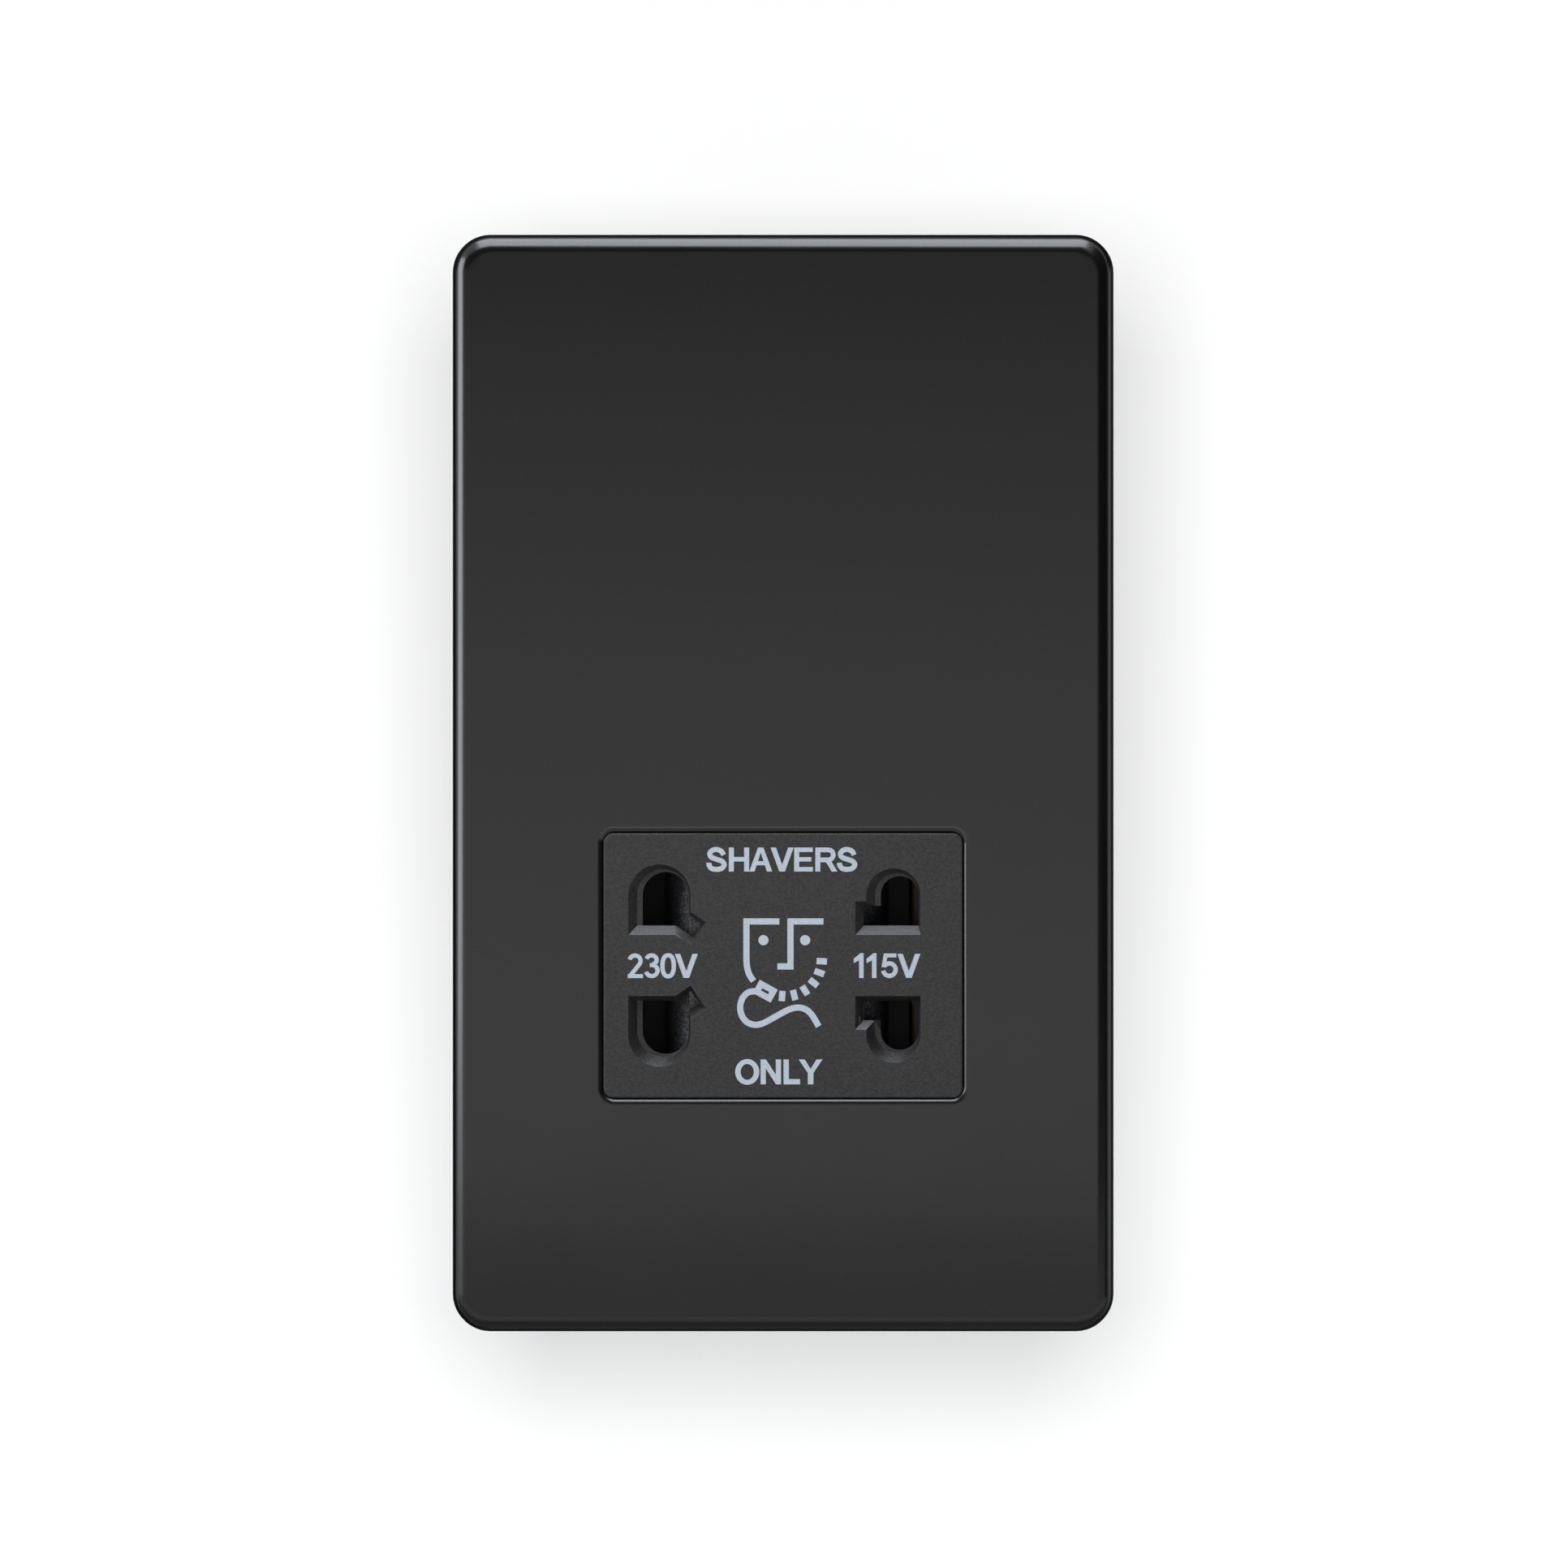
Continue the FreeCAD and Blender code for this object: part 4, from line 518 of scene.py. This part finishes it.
# printed marks: each is drawn flat in millimetres, x to the right and y up, as closed loops

def arc(cx, cy, rx, ry, start, end, count=14):
    steps = [math.radians(start + (end - start) * i / count) for i in range(count + 1)]
    return [(cx + rx * math.cos(a), cy + ry * math.sin(a)) for a in steps]


def oval(cx, cy, rx, ry, squareness=2.0, count=40):
    # a squareness of 2 is an ellipse, and more swells towards a rectangle
    loop = []
    for i in range(count):
        a = 2 * math.pi * i / count
        c, s = math.cos(a), math.sin(a)
        loop.append((cx + rx * math.copysign(abs(c) ** (2 / squareness), c),
                     cy + ry * math.copysign(abs(s) ** (2 / squareness), s)))
    return loop


def smooth(points, count=5):
    # a soft line through all the points
    ends = [points[0]] + points + [points[-1]]
    line = []
    for i in range(1, len(ends) - 2):
        a, b, c, d = (Vector(ends[k]) for k in (i - 1, i, i + 1, i + 2))
        for step in range(count):
            t = step / count
            line.append(tuple(0.5 * (2 * b + (c - a) * t + (2 * a - 5 * b + 4 * c - d) * t * t
                                     + (3 * b - a - 3 * c + d) * t ** 3)))
    return line + [points[-1]]


def pen(points, width):
    # the outline that a square-ended pen leaves along a line, mitred at its corners
    sharpest = 0.3  # keeps the mitre of a tight corner short
    line = [Vector(p) for p in points]
    left, right = [], []
    for i, point in enumerate(line):
        before = (point - line[i - 1]).normalized() if i else (line[1] - point).normalized()
        after = (line[i + 1] - point).normalized() if i < len(line) - 1 else before
        along = (before + after).normalized()
        across = Vector((-along.y, along.x))
        reach = width / 2 / max(sharpest, across.dot(Vector((-before.y, before.x))))
        left.append(tuple(point + across * reach))
        right.append(tuple(point - across * reach))
    return left + right[::-1]


def bar(x0, y0, x1, y1):
    return [(x0, y0), (x1, y0), (x1, y1), (x0, y1)]


sLine = smooth([(2.35, 2.27), (2.06, 2.77), (1.41, 3.04), (0.77, 2.89), (0.45, 2.44), (0.69, 1.96),
                (1.41, 1.67), (2.14, 1.40), (2.43, 0.92), (2.06, 0.43), (1.33, 0.29), (0.69, 0.43),
                (0.37, 0.84), (0.32, 1.20)])

# each letter is a list of shapes, and each shape is its outer loop and any holes
letters = {
    "S": [[pen(sLine, 0.69)]],
    "H": [[bar(0, 0, 0.69, 3.3)], [bar(2.11, 0, 2.8, 3.3)], [bar(0.5, 1.38, 2.3, 2.0)]],
    "A": [[[(0, 0), (1.22, 3.3), (1.96, 3.3), (3.18, 0), (2.44, 0), (2.16, 0.86), (1.02, 0.86),
            (0.74, 0)],
           [(1.21, 1.42), (1.59, 2.62), (1.97, 1.42)]]],
    "V": [[[(0, 3.3), (0.74, 3.3), (1.58, 0.92), (2.42, 3.3), (3.16, 3.3), (1.97, 0), (1.19, 0)]]],
    "E": [[bar(0, 0, 0.69, 3.3)], [bar(0.5, 2.68, 2.55, 3.3)], [bar(0.5, 1.38, 2.36, 1.98)],
          [bar(0.5, 0, 2.58, 0.62)]],
    "R": [[bar(0, 0, 0.69, 3.3)],
          [pen([(0.4, 2.98)] + arc(1.78, 2.29, 0.69, 0.69, 90, -90, 12) + [(0.4, 1.6)], 0.64)],
          [[(1.2, 1.5), (1.95, 1.62), (2.25, 1.32), (3.04, 0), (2.24, 0), (1.62, 1.08)]]],
    "O": [[oval(1.66, 1.71, 1.66, 1.77), oval(1.66, 1.71, 0.91, 1.09)]],
    "N": [[bar(0, 0, 0.72, 3.42)], [bar(2.09, 0, 2.81, 3.42)],
          [[(0.3, 3.42), (0.74, 3.42), (2.5, 0.7), (2.5, 0), (2.13, 0), (0.3, 2.84)]]],
    "L": [[pen([(0.37, 3.42), (0.37, 0.36), (2.28, 0.36)], 0.73)]],
    "Y": [[[(0, 3.42), (0.82, 3.42), (1.63, 2.13), (2.44, 3.42), (3.26, 3.42), (2.02, 1.56),
            (2.02, 0), (1.25, 0), (1.25, 1.56)]]],
    "1": [[[(0.8, 0), (1.42, 0), (1.42, 3.42), (1.0, 3.42), (0.06, 2.66), (0.06, 2.05),
            (0.8, 2.42)]]],
    "2": [[pen(arc(1.03, 2.37, 0.76, 0.74, 166, -34, 16) + [(0.36, 0.3)], 0.58)],
          [bar(0.02, 0, 2.12, 0.54)]],
    "3": [[pen(arc(1.02, 2.5, 0.7, 0.62, 166, -80, 16), 0.58)],
          [pen(arc(1.05, 1.04, 0.8, 0.76, 80, -166, 18), 0.58)], [bar(0.78, 1.52, 1.3, 2.04)]],
    "0": [[oval(1.1, 1.69, 1.08, 1.74, 2.3), oval(1.1, 1.69, 0.48, 1.16, 2.3)]],
    "5": [[bar(0.62, 2.84, 2.14, 3.38)],
          [[(0.42, 3.38), (0.98, 3.38), (0.72, 1.86), (0.56, 1.46), (0.1, 1.5), (0.14, 1.7)]],
          [pen(arc(1.18, 1.15, 0.86, 0.86, 148, -170, 20), 0.6)]],
}

# where each letter starts, from the middle of the insert
words = {
    "print_words": [
        ("S", -10.54, 12.93), ("H", -7.47, 12.93), ("A", -4.67, 12.93), ("V", -1.72, 12.93),
        ("E", 1.52, 12.93), ("R", 4.43, 12.93), ("S", 7.43, 12.93),
        ("O", -6.6, -16.35), ("N", -3.1, -16.35), ("L", 0.05, -16.35), ("Y", 2.15, -16.35),
    ],
    "print_voltages": [
        ("2", -21.4, -1.73), ("3", -19.12, -1.73), ("0", -16.92, -1.73), ("V", -14.9, -1.7),
        ("1", 9.65, -1.72), ("1", 11.42, -1.72), ("5", 13.44, -1.72), ("V", 15.72, -1.7),
    ],
}

# the usual sign for a shaver outlet: the line of a face, beard ticks, a shaver and its cord
sign = {
    "pen": 0.85,
    "eye": 0.7,
    "eyes": [(-2.71, 3.48), (3.03, 3.48)],
    "brow": [(-0.52, 6.06), (-5.05, 6.06), (-5.05, 0.98)],
    "cheek": [(-5.05, 0.98), (-4.98, -0.05), (-4.68, -1.19), (-4.07, -2.13)],
    "nose": [(5.54, 6.06), (1.01, 6.06), (1.01, -0.13), (-0.79, -0.13)],
    "beardCentre": (0.27, 0.83),
    "beardRadius": 5.05,
    "beardAngles": (2.8, 20.9, 39.1, 57.4, 75.7, 94.7),
    "tick": (1.42, 0.87),
    "bodyCentre": (-2.47, -3.54),
    "body": (2.84, 2.05),
    "slit": (1.1, 0.36),
    "bodyTurn": -28.8,
    "cord": [(-3.7, -3.59), (-4.16, -3.55), (-4.9, -3.76), (-5.59, -4.5), (-5.91, -5.65),
             (-5.7, -6.84), (-5.02, -7.76), (-3.93, -8.16), (-2.9, -7.99), (-1.88, -7.5),
             (-0.62, -6.79), (0.64, -6.13), (1.55, -5.84), (2.47, -5.82), (3.38, -6.22),
             (4.12, -7.02), (4.89, -8.39)],
}


def turned(loop, centre, degrees):
    c, s = math.cos(math.radians(degrees)), math.sin(math.radians(degrees))
    return [(centre[0] + x * c - y * s, centre[1] + x * s + y * c) for x, y in loop]


def middleBar(size):
    return bar(-size[0] / 2, -size[1] / 2, size[0] / 2, size[1] / 2)


signShapes = [
    [pen(sign["brow"] + smooth(sign["cheek"])[1:], sign["pen"])],
    [pen(sign["nose"], sign["pen"])],
    [turned(middleBar(sign["body"]), sign["bodyCentre"], sign["bodyTurn"]),
     turned(middleBar(sign["slit"]), sign["bodyCentre"], sign["bodyTurn"])],
    [pen(smooth(sign["cord"]), sign["pen"])],
]
signShapes += [[oval(x, y, sign["eye"], sign["eye"], count=32)] for x, y in sign["eyes"]]
for angle in sign["beardAngles"]:
    tick = [(x + sign["beardRadius"], y) for x, y in middleBar(sign["tick"])]
    signShapes.append([turned(tick, sign["beardCentre"], -angle)])


def flatSolid(name, loops, depth):
    # one shape as a thin solid, in millimetres: a flat curve, filled and thickened, made a mesh
    mergeWithin = 0.0005
    curve = bpy.data.curves.new(name, "CURVE")
    curve.dimensions = "2D"
    curve.fill_mode = "BOTH"
    curve.extrude = depth / 2
    for loop in loops:
        spline = curve.splines.new("POLY")
        spline.points.add(len(loop) - 1)
        for point, (x, y) in zip(spline.points, loop):
            point.co = (x, y, 0, 1)
        spline.use_cyclic_u = True
    solid = bpy.data.objects.new(name, curve)
    bpy.context.collection.objects.link(solid)
    selectOnly(solid)
    bpy.ops.object.convert(target="MESH")
    solid = bpy.context.object
    bpy.ops.object.mode_set(mode="EDIT")
    bpy.ops.mesh.select_all(action="SELECT")
    bpy.ops.mesh.remove_doubles(threshold=mergeWithin)
    bpy.ops.mesh.normals_make_consistent(inside=False)
    bpy.ops.object.mode_set(mode="OBJECT")
    return solid


def markPiece(name, shapes, depth, place, rotation, finish):
    # the shapes merged into one mesh, then laid on the surface that carries them
    whole = None
    for loops in shapes:
        solid = flatSolid(name, loops, depth)
        if whole is None:
            whole = solid
            continue
        union = whole.modifiers.new("merge", "BOOLEAN")
        union.operation = "UNION"
        union.solver = "EXACT"
        union.object = solid
        selectOnly(whole)
        bpy.ops.object.modifier_apply(modifier=union.name)
        bpy.data.objects.remove(solid)
    whole.name = name
    whole.data.name = name
    whole.scale = (mm, mm, mm)
    whole.rotation_euler = rotation
    whole.location = place
    selectOnly(whole)
    bpy.ops.object.transform_apply(location=True, rotation=True, scale=True)
    whole.data.materials.clear()
    whole.data.materials.append(finish)
    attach(whole, "housing")


inkLayer = {"depth": 0.04, "sunk": 0.01}  # in millimetres
inkPlace = (faceMiddle[0], faceFront - (inkLayer["depth"] / 2 - inkLayer["sunk"]) * mm,
            faceMiddle[1])
facingFront = (math.radians(90), 0, 0)
facingBack = (math.radians(90), 0, math.radians(180))
for pieceName, placed in words.items():
    shapes = []
    for letter, x, y in placed:
        for loops in letters[letter]:
            shapes.append([[(x + a, y + b) for a, b in loop] for loop in loops])
    markPiece(pieceName, shapes, inkLayer["depth"], inkPlace, facingFront, inkFinish)
markPiece("print_sign", signShapes, inkLayer["depth"], inkPlace, facingFront, inkFinish)
print("printed marks laid on the insert")


# moulded marks above the terminals, as an electrician reads them from behind

rearMarks = {
    "height": 0.35, "sunk": 0.02,  # in millimetres, as are the next four
    "scale": 0.9, "rise": 2.2, "pitch": 12.4, "line": 0.5,
    "earthLines": ((1.35, 1.35), (0.7, 0.85), (0.05, 0.4)),  # level and half length of each
    "stem": (1.5, 2.9),
    "surface": 22.2 * mm,  # back of the cover's low step
}


def scaled(loops, factor, x, y):
    return [[(x + factor * a, y + factor * b) for a, b in loop] for loop in loops]


rearShapes = []
for letter, side, width in (("L", 1, 2.28), ("N", -1, 2.81)):
    for loops in letters[letter]:
        x = side * rearMarks["pitch"] - rearMarks["scale"] * width / 2
        rearShapes.append(scaled(loops, rearMarks["scale"], x, 0))
for level, half in rearMarks["earthLines"]:
    rearShapes.append([bar(-half, level, half, level + rearMarks["line"])])
rearShapes.append([bar(-rearMarks["line"] / 2, rearMarks["stem"][0],
                       rearMarks["line"] / 2, rearMarks["stem"][1])])
rearPlace = (0.0, rearMarks["surface"] + (rearMarks["height"] / 2 - rearMarks["sunk"]) * mm,
             terminalTop + rearMarks["rise"] * mm)
markPiece("moulded_pole_marks", rearShapes, rearMarks["height"], rearPlace, facingBack, shell)
print("moulded marks set above the terminals")


# studio: pale wall and floor, soft lamps, and dark cards that only reflections see

def whiteSurface(name, glow, seenFromBehind):
    # white paint that the camera sees a little brighter than the lamps make it
    material, tree, output, place = newMaterial(name)
    paint = addNode(tree, "ShaderNodeBsdfDiffuse", {"Color": linear("#f2f2f2")})
    path = addNode(tree, "ShaderNodeLightPath")
    level = addNode(tree, "ShaderNodeMapRange", {"Value": path.outputs["Is Camera Ray"],
                                                 "To Min": glow["strength"], "To Max": 1.0})
    light = addNode(tree, "ShaderNodeEmission",
                    {"Color": linear("#ffffff"), "Strength": level.outputs["Result"]})
    lit = addNode(tree, "ShaderNodeMixShader", {"Fac": glow["share"]})
    tree.links.new(paint.outputs["BSDF"], lit.inputs[1])
    tree.links.new(light.outputs["Emission"], lit.inputs[2])
    surface = lit.outputs["Shader"]
    if not seenFromBehind:
        side = addNode(tree, "ShaderNodeNewGeometry")
        clear = addNode(tree, "ShaderNodeBsdfTransparent")
        choice = addNode(tree, "ShaderNodeMixShader", {"Fac": side.outputs["Backfacing"]})
        tree.links.new(surface, choice.inputs[1])
        tree.links.new(clear.outputs["BSDF"], choice.inputs[2])
        surface = choice.outputs["Shader"]
    tree.links.new(surface, output.inputs["Surface"])
    return material


studio = {
    "wallSize": 3.0,
    "wallBack": 60 * mm,
    "wallGlow": {"strength": 1.0, "share": 0.45},
    "floorSize": 5.0,
    "floorLevel": -122 * mm,
    "floorGlow": {"strength": 0.3, "share": 0.6},
    "airForDiffuse": 0.06,
}

bpy.ops.mesh.primitive_plane_add(
    size=studio["wallSize"], rotation=(math.radians(90), 0, 0),
    location=(0, studio["wallBack"], studio["floorLevel"] + studio["wallSize"] / 2))
wall = bpy.context.object
wall.name = "studio_wall"
wall.data.materials.append(whiteSurface("wallPaint", studio["wallGlow"], False))
wall.visible_shadow = False

bpy.ops.mesh.primitive_plane_add(size=studio["floorSize"], location=(0, 0, studio["floorLevel"]))
floor = bpy.context.object
floor.name = "studio_floor"
floor.data.materials.append(whiteSurface("floorPaint", studio["floorGlow"], True))

# white air wherever it is seen or reflected, and hardly any light from it
world = bpy.data.worlds.new("studioAir")
bpy.context.scene.world = world
world.use_nodes = True
air = world.node_tree
air.nodes.clear()
rays = addNode(air, "ShaderNodeLightPath")
seen = addNode(air, "ShaderNodeMath",
               {0: rays.outputs["Is Camera Ray"], 1: rays.outputs["Is Glossy Ray"]},
               operation="MAXIMUM")
shown = addNode(air, "ShaderNodeMath",
                {0: seen.outputs["Value"], 1: rays.outputs["Is Transmission Ray"]},
                operation="MAXIMUM")
strength = addNode(air, "ShaderNodeMapRange",
                   {"Value": shown.outputs["Value"],
                    "To Min": studio["airForDiffuse"], "To Max": 1.0})
sky = addNode(air, "ShaderNodeBackground",
              {"Color": linear("#ffffff"), "Strength": strength.outputs["Result"]})
addNode(air, "ShaderNodeOutputWorld", {"Surface": sky.outputs["Background"]})


def cardPaint(name, levels, strength):
    # what a reflection sees of a card: its levels run from its lower or near end to the other
    material, tree, output, place = newMaterial(name)
    parts = addNode(tree, "ShaderNodeSeparateXYZ", {"Vector": place.outputs["Object"]})
    along = addNode(tree, "ShaderNodeMapRange",
                    {"Value": parts.outputs["Y"], "From Min": -0.5, "From Max": 0.5})
    ramp = addNode(tree, "ShaderNodeValToRGB", {"Fac": along.outputs["Result"]})
    ramp.color_ramp.elements.remove(ramp.color_ramp.elements[1])
    for i, (position, level) in enumerate(levels):
        stop = ramp.color_ramp.elements.new(position) if i else ramp.color_ramp.elements[0]
        stop.position = position
        stop.color = (level, level, level, 1)
    warm = addNode(tree, "ShaderNodeMix",
                   {"Factor": 1.0, "A": ramp.outputs["Color"], "B": linear("#fffefc")},
                   data_type="RGBA", blend_type="MULTIPLY")
    glow = addNode(tree, "ShaderNodeEmission",
                   {"Color": warm.outputs["Result"], "Strength": strength})
    tree.links.new(glow.outputs["Emission"], output.inputs["Surface"])
    return material


def reflectedCard(name, low, high, paint):
    # a flat card between two corners, seen only by reflections
    size = [b - a for a, b in zip(low, high)]
    middle = [(a + b) / 2 for a, b in zip(low, high)]
    thin = size.index(0)
    turn = {0: (math.radians(90), 0, math.radians(90)), 1: (math.radians(90), 0, 0), 2: (0, 0, 0)}
    sides = {0: (size[1], size[2], 1), 1: (size[0], size[2], 1), 2: (size[0], size[1], 1)}
    bpy.ops.mesh.primitive_plane_add(size=1.0, location=middle, rotation=turn[thin])
    card = bpy.context.object
    card.name = name
    card.scale = sides[thin]
    card.data.materials.append(paint)
    card.visible_camera = False
    card.visible_diffuse = False
    card.visible_shadow = False
    card.visible_transmission = False


def softLamp(name, lamp, things, state):
    # rectangular lamp that lights only some things, or all but some; its power is worked out
    # from how bright its face looks
    data = bpy.data.lights.new(name, "AREA")
    data.shape = "RECTANGLE"
    data.size, data.size_y = lamp["size"]
    data.energy = lamp["radiance"] * math.pi * data.size * data.size_y
    data.color = linear(lamp["colour"])[:3]
    light = bpy.data.objects.new(name, data)
    bpy.context.collection.objects.link(light)
    light.location = lamp["place"]
    aim = Vector(lamp["target"]) - Vector(lamp["place"])
    light.rotation_euler = aim.to_track_quat("-Z", "Y").to_euler()
    reach = bpy.data.collections.new(name + "_reach")
    for thing in things:
        reach.objects.link(thing)
    light.light_linking.receiver_collection = reach
    for entry in reach.collection_objects:
        entry.light_linking.link_state = state


# sizes and places in metres
lamps = {
    "above": {"size": (0.45, 0.55), "radiance": 6.8, "colour": "#f3f7ff",
              "place": (-0.01, -0.225, 0.5), "target": (-0.01, -0.225, 0)},
    "left": {"size": (0.294, 0.336), "radiance": 7.0, "colour": "#f3f7ff",
             "place": (-0.45, -0.163, 0.118), "target": (0, -0.163, 0.118)},
    "halo": {"size": (0.66, 0.66), "radiance": 20.6, "colour": "#ffffff",
             "place": (-0.02, -1.5, 0.11), "target": (0, 0.06, 0)},
    "behind": {"size": (0.7, 0.7), "radiance": 3.2, "colour": "#ffffff",
               "place": (-0.5, 0.95, 0.75), "target": (0, 0.02, 0)},
}
rearPieces = [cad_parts[name] for name in (
    "rear_cover", "cover_screws", "terminal_block", "terminal_live", "terminal_earth",
    "terminal_neutral", "terminal_screws", "rear_gasket", "clip_frame")]
rearPieces += [bpy.data.objects["moulded_pole_marks"], floor]
softLamp("lamp_above", lamps["above"], [wall], "EXCLUDE")
softLamp("lamp_left", lamps["left"], [wall], "EXCLUDE")
softLamp("lamp_for_halo", lamps["halo"], [wall], "INCLUDE")
softLamp("lamp_behind", lamps["behind"], rearPieces, "INCLUDE")

# the plate reflects a card in front of it that is dark above and paler downwards, and the
# paler sheets and cards near its foot; the cards behind keep the white air off its rolled edge
gradedCard = cardPaint("gradedCard", [(0.0, 1.0), (0.165, 1.0), (0.235, 0.9), (0.355, 0.55),
                                      (0.405, 0.4), (0.42, 0.0)], 1.05)
greyCard = cardPaint("greyCard", [(0.0, 1.0)], 0.55)
paleSheet = cardPaint("paleSheet", [(0.0, 1.0)], 1.9)
dullSheet = cardPaint("dullSheet", [(0.0, 0.75), (0.55, 0.75), (0.66, 0.27)], 1.0)
blackCard = cardPaint("blackCard", [(0.0, 0.0)], 0.0)
dimCard = cardPaint("dimCard", [(0.0, 1.0)], 0.05)
cards = [
    ("card_in_front", (-0.6, -0.4, -0.12), (0.14, -0.4, 0.405), gradedCard),
    ("card_at_foot", (-0.3, -0.12, -0.12), (0.3, -0.12, -0.063), greyCard),
    ("sheet_at_foot", (-0.3, -0.4, -0.12), (0.3, -0.13, -0.12), paleSheet),
    ("sheet_below", (-0.3, -0.119, -0.119), (0.3, 0.011, -0.119), dullSheet),
    ("card_right", (0.36, -1.6, -0.12), (0.36, -0.03, 0.5), blackCard),
    ("card_behind_top", (-0.2, 0.012, 0.0785), (0.2, 0.012, 0.135), blackCard),
    ("card_behind_left", (-0.105, 0.012, -0.12), (-0.0485, 0.012, 0.0785), blackCard),
    ("card_behind_right", (0.0485, 0.012, -0.12), (0.086, 0.012, 0.0785), dimCard),
    ("card_behind_bottom", (-0.0485, 0.012, -0.115), (0.0485, 0.012, -0.0785), dimCard),
]
for name, low, high, paint in cards:
    reflectedCard(name, low, high, paint)
print("studio lit")

bpy.context.scene.view_settings.view_transform = "Standard"
